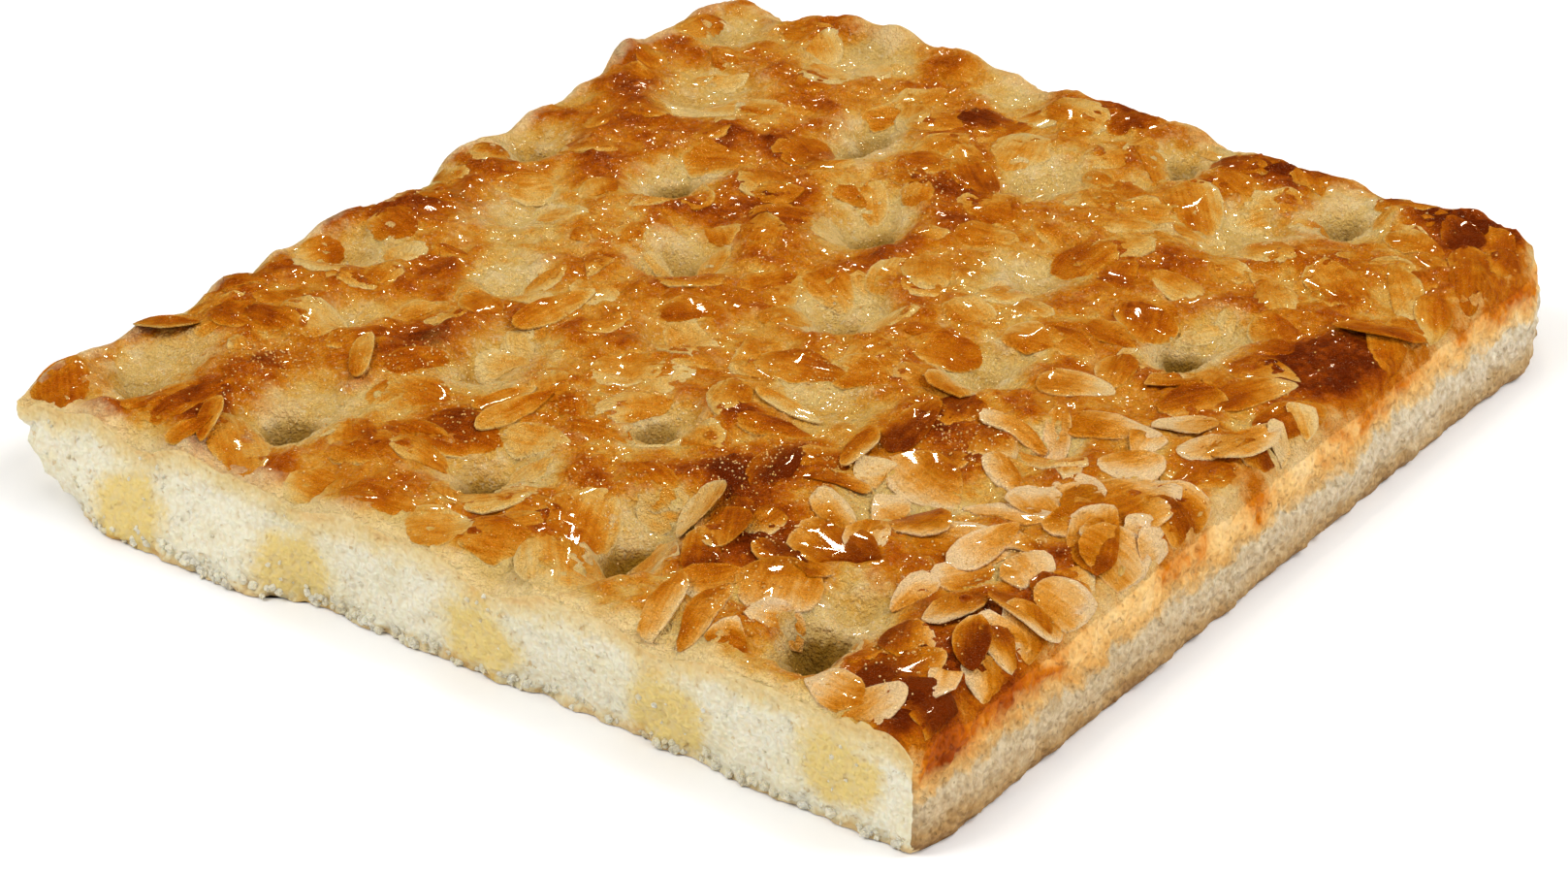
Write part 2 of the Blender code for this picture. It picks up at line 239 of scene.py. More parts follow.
# vertex groups: the crust above, the torn crumb of the two cut faces, the baked sides
co = points_of(cake.data)
count = len(co)
is_top = np.arange(count) < top_points
edge_gap = np.minimum(to_side - np.abs(co[:, 0]), to_back - np.abs(co[:, 1]))
ring = 2 * (wide + deep)
side_high = 25.0
levels = 8  # steps in which a group's weight is given
drop = np.where(is_top, 0, side_high * (1 + (np.arange(count) - top_points) // ring) / rows)
on_front = ~is_top & (co[:, 1] < -118) & (co[:, 0] < 114)
on_left = ~is_top & ~on_front & (co[:, 0] < -98)
on_cut = on_front | on_left
on_baked = ~is_top & ~on_cut
soak = np.zeros(count)  # how much butter stood there
for x, y, half_x, half_y, down in hollows:
    away = np.hypot((co[:, 0] - x) / half_x, (co[:, 1] - y) / half_y)
    soak = np.maximum(soak, np.clip(1.3 - away, 0, 1) * min(1, 0.4 + down / 10))
for name, weight in (
    ("crust", np.where(is_top, np.clip(edge_gap / 3, 0.25, 1), 0)),
    ("film", np.where(is_top & (edge_gap > 2), np.clip(soak * 1.4, 0.12, 1), 0)),
    ("ridges", np.where(is_top, np.clip(edge_gap / 3, 0.25, 1) * (1 - 0.6 * np.clip(soak * 1.3, 0, 1)), 0)),
    ("crumb", np.where(on_cut, np.clip(co[:, 2] / 1.5, 0.2, 1) * np.clip(drop / 3.5, 0, 1), 0)),
    ("torn_foot", np.where(on_cut, np.clip(1 - co[:, 2] / 7, 0, 1), 0)),
    ("foot", np.where(on_baked, np.clip(1 - co[:, 2] / 6, 0, 1), 0)),
    ("side", np.where(on_baked, np.clip(co[:, 2] / 2.5, 0.35, 1), 0)),
):
    group = cake.vertex_groups.new(name=name)
    for level in range(1, levels + 1):
        group.add(np.where(np.round(weight * levels) == level)[0].tolist(), level / levels, "REPLACE")


def roughen(group, kind, size, height, direction="NORMAL", middle=0.5, **settings):
    """Raises an uneven relief on one vertex group of the slab and applies it."""
    texture = bpy.data.textures.new(group + "_" + kind.lower(), kind)
    texture.noise_scale = size * mm
    for key, value in settings.items():
        setattr(texture, key, value)
    relief = cake.modifiers.new("relief", "DISPLACE")
    relief.texture = texture
    relief.texture_coords = "LOCAL"
    relief.vertex_group = group
    relief.direction = direction
    relief.strength = height * mm
    relief.mid_level = middle
    bpy.ops.object.modifier_apply(modifier=relief.name)


bpy.ops.object.select_all(action="DESELECT")
bpy.context.view_layer.objects.active = cake
cake.select_set(True)
roughen("crust", "CLOUDS", 17, 4.0, "Z", noise_depth=1)
roughen("ridges", "CLOUDS", 6.5, 2.0, noise_depth=2)
roughen("ridges", "MUSGRAVE", 2.6, 0.5, octaves=2)
roughen("film", "MARBLE", 6, 0.8, "Z", noise_depth=2, turbulence=9.0)
roughen("film", "CLOUDS", 4.5, 1.5, noise_depth=2)
roughen("film", "CLOUDS", 2.4, 0.8, noise_depth=1)
roughen("crumb", "CLOUDS", 7, 1.4, noise_depth=2)
roughen("crumb", "VORONOI", 2.4, 0.9, middle=0.35)
roughen("crumb", "CLOUDS", 1.3, 0.9, noise_depth=1)
roughen("torn_foot", "CLOUDS", 4.5, 4.5, noise_depth=2)
roughen("foot", "CLOUDS", 5, 2.6, noise_depth=2)
roughen("side", "CLOUDS", 8, 2.2, noise_depth=2)
roughen("side", "CLOUDS", 2.2, 1.2, noise_depth=2)
roughen("side", "VORONOI", 2.8, 1.1, middle=0.35)

# the underside stays level
co = points_of(cake.data)
co[:, 2] = np.maximum(co[:, 2], 0)
co[count - ring:, 2] = 0
cake.data.vertices.foreach_set("co", (co * mm).astype(np.float32).ravel())
cake.data.update()

# What the oven and the butter did is kept in one colour layer: red is how brown the surface
# is, green how soaked with butter, blue how far a side point lies below the crust or, on the
# crust, how much the glaze is gathered into folds or turned pale at the right rim, and alpha
# how much painted shade darkens a pit, the more the deeper it is. Two plain layers follow, for the rims.
pit_shade = np.zeros(count)
for x, y, reach, down in pits:
    away = np.hypot(co[:, 0] - x, co[:, 1] - y) / (reach * 0.85)
    pit_shade = np.maximum(pit_shade, np.clip(1.2 - away, 0, 1) * min(0.5, down / 12))


def blurred(grid, reach):
    """A field smoothed over a reach given in points."""
    kernel = np.exp(-0.5 * (np.arange(-3 * reach, 3 * reach + 1) / reach) ** 2)
    kernel /= kernel.sum()
    for axis in (0, 1):
        pad = [(len(kernel) // 2,) * 2 if a == axis else (0, 0) for a in (0, 1)]
        grid = np.apply_along_axis(np.convolve, axis, np.pad(grid, pad, mode="edge"), kernel, "valid")
    return grid


top_z = co[by_row, 2].reshape(deep + 1, wide + 1)
proud = np.zeros(count)
proud[by_row] = (blurred(top_z, 1) - blurred(top_z, 10)).ravel()
folds = np.zeros(count)
folds[by_row] = (top_z - blurred(top_z, 3)).ravel()
sunken = np.zeros(count)
sunken[by_row] = (blurred(top_z, 6) - top_z).ravel()
# the torn holes get painted shade, darker the more the crust is sunken there
for x, y, reach, down, dark in torn:
    away = np.hypot(co[:, 0] - x, (co[:, 1] - y) * 0.8) / reach
    pit_shade = np.maximum(pit_shade, dark * np.clip((1.5 - away) * 2.5, 0, 1) * np.clip((sunken - 0.8) / 1.4, 0, 1))
baked_gap = np.minimum(to_side - co[:, 0], to_back - co[:, 1])  # the roll of the rim is no valley
proud *= np.clip((baked_gap - 2) / 6, 0, 1)
browned = (  # the darkest and palest places of the crust: middle x, y, reach, strength
    (-101, -75, 9, 0.5), (-62, -62, 10, 0.55), (-79, -34, 9, 0.5), (-80, -112, 8, 0.4),
    (-27, -87, 8, 0.3), (-78, -86, 6, 0.4), (-109, -119, 9, 0.05), (29, -62, 13, 0.9),
    (53, -86, 11, 0.9), (38, -79, 8, 0.8), (56, -29, 11, 0.75), (101, -107, 8, 0.7),
    (112, -116, 9, 0.75), (107, -96, 11, 0.6), (101, 46, 12, 1.4), (106, 38, 10, 0.8),
    (97, 118, 12, 0.75), (100, 106, 9, 0.5), (-37, 35, 10, 0.7), (-42, 25, 9, 0.6),
    (-49, 62, 10, 0.6), (-63, 55, 9, 0.4), (-41, 109, 9, 0.55), (-22, 100, 8, 0.7),
    (-4, 70, 10, 0.6), (-78, 42, 9, 0.35), (-78, 25, 7, 0.35), (-63, 84, 7, 0.4),
    (-105, 88, 8, 0.35), (-104, 65, 8, 0.3), (5, 122, 9, 0.6), (45, 120, 10, 0.4),
    (30, 55, 9, 0.4), (47, 50, 8, 0.4), (60, 38, 7, 0.3), (33, 2, 8, 0.35), (108, -22, 9, 0.4),
    (110, -72, 9, 0.45), (-105, -20, 10, 0.3), (-95, 48, 10, 0.25), (40, -122, 14, -0.4),
    (66, -122, 13, -0.4), (90, -123, 10, -0.35), (15, -121, 12, -0.3), (-8, -122, 12, -0.3),
    (115, -70, 8, -0.5), (115, -48, 9, -0.5), (115, -16, 9, -0.45), (115, 12, 9, -0.4),
    (116, 37, 9, -0.6), (115, 66, 8, 0.1), (116, 98, 12, 0.5), (116, -86, 11, 0.35),
    (116, -30, 9, -0.15), (40, 5, 12, 0.1), (-10, -30, 14, 0.1), (60, 124, 12, 0.3),
    (-80, 122, 12, 0.3),
)
brown = 0.33 + 0.16 * np.clip(proud, -2.5, 2.0)
for x, y, reach, strong in browned:
    away = np.hypot(co[:, 0] - x, co[:, 1] - y) / reach
    brown += strong * 0.6 * np.exp(-1.1 * away ** 2)
brown -= (0.28 * np.clip(1 - (co[:, 1] + to_back) / 8, 0, 1) * np.clip((108 - co[:, 0]) / 12, 0, 1)
          * np.clip((co[:, 0] + 60) / 60, 0, 1))  # paler along most of the front cut
brown = np.clip(brown * (1 - 0.75 * np.clip(soak, 0, 1)), 0, 1)
blobs = ((-82, 7), (-38, 8), (9, 9), (56, 9), (96, 13))  # butter under the cut hollows: x, z
butter = np.zeros(count)
for x, z in blobs:
    away = np.hypot((co[:, 0] - x) / 10.5, (co[:, 2] - z) / 9.5)
    butter = np.maximum(butter, np.clip(1.35 - away, 0, 1) * on_front)
tint = np.ones((count, 4), np.float32)
tint[:, 0] = brown
tint[:, 1] = np.where(is_top, soak, butter)
gathered = np.clip(0.45 + 0.9 * folds, 0, 1) * np.clip(soak * 1.5, 0.15, 1)
tint[:, 2] = np.where(is_top & (edge_gap > 2), gathered, drop / side_high)
to_right = np.clip(1 - (to_side - co[:, 0]) / 10, 0, 1) * (co[:, 0] > 100) * is_top
tint[:, 2] = np.maximum(tint[:, 2], 0.8 * to_right * np.clip(1.2 - 2 * brown, 0, 1))
tint[:, 3] = np.clip(pit_shade, 0, 1)
bake = cake.data.color_attributes.new("bake", "FLOAT_COLOR", "POINT")
bake.data.foreach_set("color", tint.ravel())
column, row = np.arange(wide + 1)[None, :], np.arange(deep + 1)[:, None]
rolled = on_baked.astype(np.float32)  # one on the baked sides and at the rim above, fading inwards
rolled[by_row] = np.clip(1 - np.minimum(wide - column, deep - row) / 9, 0, 1).ravel()
frayed = np.zeros(count, np.float32)  # along the cuts the film came off and bares the crumb
off_cut = np.clip(1 - np.minimum(column, row) / 8, 0, 1)
frayed[by_row] = (off_cut * np.clip((218 - column) / 12, 0, 1)).ravel()
for name, values in (("rolled", rolled), ("frayed", frayed)):
    layer = cake.data.attributes.new(name, "FLOAT", "POINT")
    layer.data.foreach_set("value", values)


def math_node(nodes, links, kind, a, b, c=None, clamp=False):
    """One Math node whose inputs are sockets or plain numbers."""
    node = nodes.new("ShaderNodeMath")
    node.operation = kind
    node.use_clamp = clamp
    for slot, value in enumerate((a, b, c)):
        if value is None:
            continue
        if isinstance(value, (int, float)):
            node.inputs[slot].default_value = value
        else:
            links.new(value, node.inputs[slot])
    return node.outputs[0]


def above(nodes, links, value, start, gain):
    """How far a value lies past a start, times a gain, and never more than one."""
    past = math_node(nodes, links, "SUBTRACT", value, start, clamp=True)
    return math_node(nodes, links, "MULTIPLY", past, gain, clamp=True)


def noise_node(nodes, links, place, scale, detail=2.0):
    """Cloud noise at a place; its scale is a socket or a plain number."""
    node = nodes.new("ShaderNodeTexNoise")
    node.inputs["Detail"].default_value = detail
    links.new(place, node.inputs["Vector"])
    if isinstance(scale, float):
        node.inputs["Scale"].default_value = scale
    else:
        links.new(scale, node.inputs["Scale"])
    return node


def number_group(name, entries, exits):
    """A shader group that takes numbers and gives numbers, still empty."""
    group = bpy.data.node_groups.new(name, "ShaderNodeTree")
    for socket, value in entries:
        entry = group.interface.new_socket(name=socket, in_out="INPUT", socket_type="NodeSocketFloat")
        entry.default_value = value
    for socket in exits:
        group.interface.new_socket(name=socket, in_out="OUTPUT", socket_type="NodeSocketFloat")
    return group, group.nodes.new("NodeGroupInput"), group.nodes.new("NodeGroupOutput")


def mottle_group():
    """Two sizes of cloud in one mask, centred on zero: used wherever a finish varies."""
    group, come, go = number_group("mottle", (("Coarse", 90.0), ("Fine", 400.0)), ("Mask",))
    nodes, links = group.nodes, group.links
    place = nodes.new("ShaderNodeTexCoord").outputs["Object"]
    coarse = noise_node(nodes, links, place, come.outputs["Coarse"], 3.0)
    fine = noise_node(nodes, links, place, come.outputs["Fine"], 4.0)
    blend = math_node(nodes, links, "MULTIPLY_ADD", fine.outputs["Fac"], 0.5, coarse.outputs["Fac"])
    links.new(math_node(nodes, links, "SUBTRACT", blend, 0.75), go.inputs["Mask"])
    return group


mottle = mottle_group()


def mottle_node(nodes, coarse, fine):
    """Places the mottle group with its two cloud sizes and returns its mask."""
    node = nodes.new("ShaderNodeGroup")
    node.node_tree = mottle
    node.inputs["Coarse"].default_value = coarse
    node.inputs["Fine"].default_value = fine
    return node.outputs["Mask"]


def mask_node(nodes, layer):
    """Reads a plain layer kept on the mesh."""
    node = nodes.new("ShaderNodeAttribute")
    node.attribute_name = layer
    return node.outputs["Fac"]


def channels(nodes, links, layer):
    """The red, green, blue and alpha of a colour layer kept on the mesh."""
    paint = nodes.new("ShaderNodeAttribute")
    paint.attribute_name = layer
    split = nodes.new("ShaderNodeSeparateColor")
    links.new(paint.outputs["Color"], split.inputs["Color"])
    return split.outputs["Red"], split.outputs["Green"], split.outputs["Blue"], paint.outputs["Alpha"]


def ramp_node(nodes, links, fac, stops):
    """A colour ramp through the given places and colours."""
    node = nodes.new("ShaderNodeValToRGB")
    band = node.color_ramp
    band.elements[0].position, band.elements[0].color = stops[0][0], (*stops[0][1], 1)
    band.elements[1].position, band.elements[1].color = stops[-1][0], (*stops[-1][1], 1)
    for at, colour in stops[1:-1]:
        band.elements.new(at).color = (*colour, 1)
    links.new(fac, node.inputs["Fac"])
    return node.outputs["Color"]


def mix_node(nodes, links, fac, a, b, kind="MIX"):
    """Mixes two colours; each input is a socket or a plain colour."""
    node = nodes.new("ShaderNodeMix")
    node.data_type, node.blend_type = "RGBA", kind
    for slot, value in ((0, fac), (6, a), (7, b)):
        if isinstance(value, (int, float)):
            node.inputs[slot].default_value = value
        elif isinstance(value, tuple):
            node.inputs[slot].default_value = (*value, 1)
        else:
            links.new(value, node.inputs[slot])
    return node.outputs[2]


def tinted(nodes, links, colour, mask, share, hue):
    """The colour with up to a share of another hue in it, as far as the mask goes."""
    return mix_node(nodes, links, math_node(nodes, links, "MULTIPLY", mask, share), colour, hue)


def plain_material(name):
    """A new material with its node tree at hand."""
    material = bpy.data.materials.new(name)
    material.use_nodes = True
    nodes, links = material.node_tree.nodes, material.node_tree.links
    return material, nodes, links, nodes["Principled BSDF"]


def dress(shader, values):
    """Sets what is the same all over a surface on the shader's own sockets."""
    for socket, value in values.items():
        shader.inputs[socket].default_value = value


def bump_node(nodes, links, shader, height, distance, strength):
    """Raises the shader's surface by a height."""
    bump = nodes.new("ShaderNodeBump")
    bump.inputs["Distance"].default_value = distance
    bump.inputs["Strength"].default_value = strength
    links.new(height, bump.inputs["Height"])
    links.new(bump.outputs["Normal"], shader.inputs["Normal"])


def grain_bump(nodes, links, shader, sizes, distance, strength):
    """Bump from noise of several sizes, given as (scale, weight)."""
    place = nodes.new("ShaderNodeTexCoord").outputs["Object"]
    total = 0.0
    for scale, weight in sizes:
        noise = noise_node(nodes, links, place, scale)
        total = math_node(nodes, links, "MULTIPLY_ADD", noise.outputs["Fac"], weight, total)
    bump_node(nodes, links, shader, total, distance, strength)


def crumb_group():
    """Torn crumb: small lumps a millimetre across, and the open pores between some of them."""
    group, come, go = number_group("torn_crumb", (("Lumps", 900.0), ("Pores", 420.0)), ("Height", "Pore"))
    nodes, links = group.nodes, group.links
    place = nodes.new("ShaderNodeTexCoord").outputs["Object"]
    drift = nodes.new("ShaderNodeVectorMath")
    drift.operation = "MULTIPLY_ADD"
    links.new(noise_node(nodes, links, place, 500.0).outputs["Color"], drift.inputs[0])
    drift.inputs[1].default_value = (0.0009, 0.0009, 0.0009)
    links.new(place, drift.inputs[2])
    cells = nodes.new("ShaderNodeTexVoronoi")
    cells.feature = "SMOOTH_F1"
    links.new(drift.outputs[0], cells.inputs["Vector"])
    links.new(come.outputs["Lumps"], cells.inputs["Scale"])
    holes = noise_node(nodes, links, drift.outputs[0], come.outputs["Pores"], 3.0)
    pore = above(nodes, links, 0.35, holes.outputs["Fac"], 16.0)
    lump = math_node(nodes, links, "SUBTRACT", 1.0, cells.outputs["Distance"])
    links.new(math_node(nodes, links, "MULTIPLY_ADD", pore, -0.4, lump), go.inputs["Height"])
    links.new(pore, go.inputs["Pore"])
    return group


torn_crumb = crumb_group()


def crumb_bump(nodes, links, shader, lumps, pores, distance):
    """Places the torn-crumb group, drives the bump with it and returns its pore mask and height."""
    node = nodes.new("ShaderNodeGroup")
    node.node_tree = torn_crumb
    node.inputs["Lumps"].default_value = lumps
    node.inputs["Pores"].default_value = pores
    bump_node(nodes, links, shader, node.outputs["Height"], distance, 1.0)
    return node.outputs["Pore"], node.outputs["Height"]


crust_stops = (  # from pale through golden to mahogany
    (0.0, (0.78, 0.52, 0.17)), (0.18, (0.755, 0.41, 0.080)), (0.32, (0.70, 0.28, 0.023)),
    (0.46, (0.60, 0.176, 0.004)), (0.62, (0.46, 0.094, 0.001)), (0.80, (0.28, 0.042, 0.001)),
    (1.0, (0.14, 0.016, 0.001)),
)


def toast_node(nodes, links, browning, speckle):
    """How toasted the surface is: the browning, in clouds and with fine speckles over them."""
    toast = math_node(nodes, links, "MULTIPLY_ADD", mottle_node(nodes, 58.0, 190.0), 1.15, browning)
    specks = mottle_node(nodes, 520.0, 1900.0)
    return math_node(nodes, links, "MULTIPLY_ADD", specks, speckle, toast, clamp=True)


def rolled_crust(nodes, links, toast):
    """The crust where it rolls over to the baked sides: mealy cream where pale, else as above."""
    fade = math_node(nodes, links, "MULTIPLY_ADD", toast, -1.5, 0.72, clamp=True)
    return mix_node(nodes, links, fade, ramp_node(nodes, links, toast, crust_stops), (0.90, 0.62, 0.31))


# crust: pale where the butter stood, golden to mahogany on the ridges, under a sugar glaze
crust, nodes, links, shader = plain_material("glazed_crust")
browning, soaking, folding, pit_shading = channels(nodes, links, "bake")
speckle = math_node(nodes, links, "MULTIPLY_ADD", browning, 0.5, 0.16)
toast = toast_node(nodes, links, browning, speckle)
colour = ramp_node(nodes, links, toast, crust_stops)

# the film on it: creamy in folds, yellow where soaked, whitish specks of sugar and painted glints
creamy = math_node(nodes, links, "MULTIPLY_ADD", mottle_node(nodes, 140.0, 420.0), 2.2, folding)
creamy = above(nodes, links, creamy, 0.28, 1.5)
if_pale = math_node(nodes, links, "MULTIPLY_ADD", toast, -2.2, 1.25, clamp=True)
creamy = math_node(nodes, links, "MULTIPLY", creamy, if_pale)
colour = tinted(nodes, links, colour, creamy, 0.6, (0.92, 0.68, 0.34))
soaked = math_node(nodes, links, "MULTIPLY_ADD", mottle_node(nodes, 55.0, 180.0), 2.4, soaking)
soaked = above(nodes, links, soaked, 0.55, 1.2)
colour = tinted(nodes, links, colour, soaked, 0.5, (0.68, 0.37, 0.055))
# painted highlight: the dried sugar specks also stand in for glints, so they follow the glossy glaze
sugar_and_glint = math_node(nodes, links, "SUBTRACT", mottle_node(nodes, 1000.0, 1900.0), 0.07, clamp=True)
more_soaked = math_node(nodes, links, "MULTIPLY_ADD", soaking, 5.0, 1.6)
sugar_and_glint = math_node(nodes, links, "MULTIPLY", sugar_and_glint, more_soaked, clamp=True)
if_not_dark = math_node(nodes, links, "MULTIPLY_ADD", toast, -2.2, 2.0, clamp=True)
sugar_and_glint = math_node(nodes, links, "MULTIPLY", sugar_and_glint, if_not_dark)
colour = tinted(nodes, links, colour, sugar_and_glint, 0.6, (0.90, 0.74, 0.44))

# near the baked rims it turns mealy, cream crumb is bared along the cuts, pits get painted shade
near = math_node(nodes, links, "MULTIPLY_ADD", mottle_node(nodes, 110.0, 420.0), 1.2, -0.45)
near = math_node(nodes, links, "MULTIPLY_ADD", mask_node(nodes, "rolled"), 1.9, near, clamp=True)
colour = mix_node(nodes, links, near, colour, rolled_crust(nodes, links, toast))
bared = math_node(nodes, links, "MULTIPLY_ADD", mottle_node(nodes, 130.0, 500.0), 2.0, -0.75)
bared = math_node(nodes, links, "MULTIPLY_ADD", mask_node(nodes, "frayed"), 1.7, bared, clamp=True)
colour = tinted(nodes, links, colour, bared, 0.75, (1.0, 0.76, 0.38))
colour = tinted(nodes, links, colour, pit_shading, 0.92, (0.25, 0.115, 0.004))
links.new(colour, shader.inputs["Base Color"])
links.new(math_node(nodes, links, "MULTIPLY_ADD", near, 0.2, 0.42), shader.inputs["Roughness"])

# the clear glaze coats it, least where it is dark, mealy or bared
coated = math_node(nodes, links, "MULTIPLY_ADD", soaking, 0.45, 0.4, clamp=True)
matt = above(nodes, links, toast, 0.62, 2.2)
matt = math_node(nodes, links, "MAXIMUM", matt, math_node(nodes, links, "MULTIPLY", near, 0.85))
matt = math_node(nodes, links, "MAXIMUM", matt, math_node(nodes, links, "MULTIPLY", bared, 0.8))
glossy = math_node(nodes, links, "SUBTRACT", 1.0, matt, clamp=True)
links.new(math_node(nodes, links, "MULTIPLY", coated, glossy), shader.inputs["Coat Weight"])
dress(shader, {
    "Specular IOR Level": 0.25, "Specular Tint": (1.0, 0.5, 0.12, 1), "Coat Roughness": 0.05,
    "Subsurface Weight": 0.18, "Subsurface Radius": (0.003, 0.0022, 0.0009), "Subsurface Scale": 1.0,
})
grain_bump(nodes, links, shader, ((2100.0, 0.85), (950.0, 1.1), (420.0, 1.1)), 0.0017, 1.0)

# crumb: warm white and open-pored, with the crust's tan edge above and yellow butter spots
crumb, nodes, links, shader = plain_material("open_crumb")
buttered, below_crust = channels(nodes, links, "bake")[1:3]
clouds = mottle_node(nodes, 150.0, 900.0)
pale = ramp_node(nodes, links, math_node(nodes, links, "ADD", clouds, 0.5), (
    (0.10, (0.69, 0.565, 0.325)), (0.28, (0.79, 0.715, 0.48)), (0.46, (0.83, 0.775, 0.585)),
    (0.75, (0.85, 0.805, 0.64)),
))
spot = math_node(nodes, links, "MULTIPLY_ADD", clouds, 1.2, buttered)
spot = above(nodes, links, spot, 0.2, 2.2)
pale = tinted(nodes, links, pale, spot, 0.85, (0.78, 0.56, 0.145))
pore, lumpy = crumb_bump(nodes, links, shader, 1000.0, 640.0, 0.0006)
# painted shade: the crevices between the lumps and the open pores are darkened
shade_between_lumps = above(nodes, links, 0.62, lumpy, 2.6)
pale = tinted(nodes, links, pale, shade_between_lumps, 0.55, (0.68, 0.54, 0.31))
pale = tinted(nodes, links, pale, pore, 0.45, (0.66, 0.42, 0.16))
depth = math_node(nodes, links, "MULTIPLY_ADD", mottle_node(nodes, 110.0, 600.0), 0.34, below_crust)
edge = ramp_node(nodes, links, depth, (
    (0.0, (0.90, 0.66, 0.36)), (0.06, (0.93, 0.76, 0.48)), (0.15, (0.97, 0.86, 0.64)),
    (0.27, (1, 1, 1)), (0.88, (1, 1, 1)), (0.95, (0.98, 0.86, 0.66)), (1.0, (0.92, 0.68, 0.42)),
))
links.new(mix_node(nodes, links, 1.0, pale, edge, "MULTIPLY"), shader.inputs["Base Color"])
dress(shader, {
    "Roughness": 0.85, "Subsurface Weight": 0.35, "Subsurface Radius": (0.004, 0.003, 0.0018),
    "Subsurface Scale": 1.0,
})

# baked sides: golden roll of crust, then a mealy pale band, then a mottled tan foot
side, nodes, links, shader = plain_material("baked_side")
browning = channels(nodes, links, "bake")[0]
xyz = nodes.new("ShaderNodeSeparateXYZ")
links.new(nodes.new("ShaderNodeTexCoord").outputs["Object"], xyz.inputs["Vector"])
height = math_node(nodes, links, "MULTIPLY", xyz.outputs["Z"], 40.0)
height = math_node(nodes, links, "MULTIPLY_ADD", mottle_node(nodes, 130.0, 650.0), 0.30, height)
height = math_node(nodes, links, "MULTIPLY_ADD", mottle_node(nodes, 26.0, 90.0), 0.36, height)
colour = ramp_node(nodes, links, height, (
    (0.0, (0.36, 0.20, 0.080)), (0.14, (0.48, 0.30, 0.125)), (0.26, (0.56, 0.41, 0.23)),
    (0.36, (0.60, 0.47, 0.30)), (0.505, (0.63, 0.51, 0.33)), (0.55, (0.68, 0.45, 0.20)),
    (0.62, (0.72, 0.40, 0.12)), (1.0, (0.78, 0.43, 0.10)),
))
whiter = mix_node(nodes, links, 1.0, colour, (1.12, 1.22, 1.42), "MULTIPLY")
to_rear = math_node(nodes, links, "MULTIPLY_ADD", xyz.outputs["Y"], 6.0, 0.35, clamp=True)
colour = mix_node(nodes, links, to_rear, colour, whiter)
toast = toast_node(nodes, links, browning, 0.2)
roll = above(nodes, links, height, 0.60, 8.0)
colour = mix_node(nodes, links, roll, colour, rolled_crust(nodes, links, toast))
meal = math_node(nodes, links, "MULTIPLY_ADD", mottle_node(nodes, 480.0, 1500.0), 2.6, 0.45, clamp=True)
meal = mix_node(nodes, links, meal, (0.75, 0.67, 0.56), (1.05, 1.05, 1.04))
below_roll = math_node(nodes, links, "MULTIPLY_ADD", roll, -0.85, 1.0, clamp=True)
colour = mix_node(nodes, links, below_roll, colour, meal, "MULTIPLY")
pore = crumb_bump(nodes, links, shader, 800.0, 500.0, 0.0013)[0]
# painted shade: the pores of the mealy band are darkened, though not on the roll above it
pore = math_node(nodes, links, "MULTIPLY", pore, math_node(nodes, links, "MULTIPLY", below_roll, 0.35))
links.new(mix_node(nodes, links, pore, colour, (0.50, 0.34, 0.15)), shader.inputs["Base Color"])
dress(shader, {
    "Roughness": 0.66, "Specular IOR Level": 0.3, "Specular Tint": (1.0, 0.75, 0.45, 1),
    "Subsurface Weight": 0.15, "Subsurface Radius": (0.004, 0.0025, 0.0012), "Subsurface Scale": 1.0,
})

# underside: evenly browned on the tray
base, nodes, links, shader = plain_material("baked_base")
clouds = mottle_node(nodes, 60.0, 500.0)
colour = ramp_node(nodes, links, math_node(nodes, links, "ADD", clouds, 0.5), (
    (0.2, (0.46, 0.25, 0.09)), (0.5, (0.36, 0.17, 0.05)), (0.8, (0.24, 0.10, 0.03)),
))
links.new(colour, shader.inputs["Base Color"])
dress(shader, {"Roughness": 0.75})
grain_bump(nodes, links, shader, ((700.0, 1.0), (260.0, 1.0)), 0.0008, 0.6)

for material in (crust, crumb, side, base):
    cake.data.materials.append(material)
faces = len(cake.data.polygons)
first = np.empty(faces, np.int32)
cake.data.polygons.foreach_get("loop_start", first)
corner = np.empty(len(cake.data.loops), np.int32)
cake.data.loops.foreach_get("vertex_index", corner)
highest = np.maximum.reduceat(corner, first)
lowest = np.minimum.reduceat(corner, first)
slots = np.zeros(faces, np.int32)  # the crust, then the cut faces, the baked sides, the underside
slots[(highest >= top_points) & on_cut[highest]] = 1
slots[(highest >= top_points) & ~on_cut[highest]] = 2
slots[lowest >= count - ring] = 3
cake.data.polygons.foreach_set("material_index", slots)
bpy.ops.object.shade_smooth_by_angle(angle=math.radians(62))
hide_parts("butter_cake")
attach(cake, "root")

# ------------------------------------------------------------------------------------------
# The flaked almonds. Blanched almonds sliced thinner than a millimetre and strewn on before
# baking, so they lie in the butter crust, lap over each other and curl at the rims. Whole
# slices are ovals with a point; many are broken.
# ------------------------------------------------------------------------------------------
step, border = 1.0, 3  # the field of heights, in millimetres, and how far it passes the slab
field_x = np.arange(-to_side - border, to_side + border + 1, step)
field_y = np.arange(-to_back - border, to_back + border + 1, step)
crust_shape = BVHTree.FromObject(cake, bpy.context.evaluated_depsgraph_get())
bare = np.zeros((len(field_y), len(field_x)))
for j, y in enumerate(field_y):
    for i, x in enumerate(field_x):
        hit = crust_shape.ray_cast(Vector((x * mm, y * mm, 0.06)), Vector((0, 0, -1)))[0]
        bare[j, i] = hit.z / mm if hit is not None else 0.0
bare = np.maximum(bare, 12.0)  # past the slab too, so that slices at its rims don't dive
heaped = bare.copy()  # the crust with the slices laid so far
glaze = bare.copy()  # the level to which butter and sugar run up round them
plan_x, plan_y = np.meshgrid(field_x, field_y)


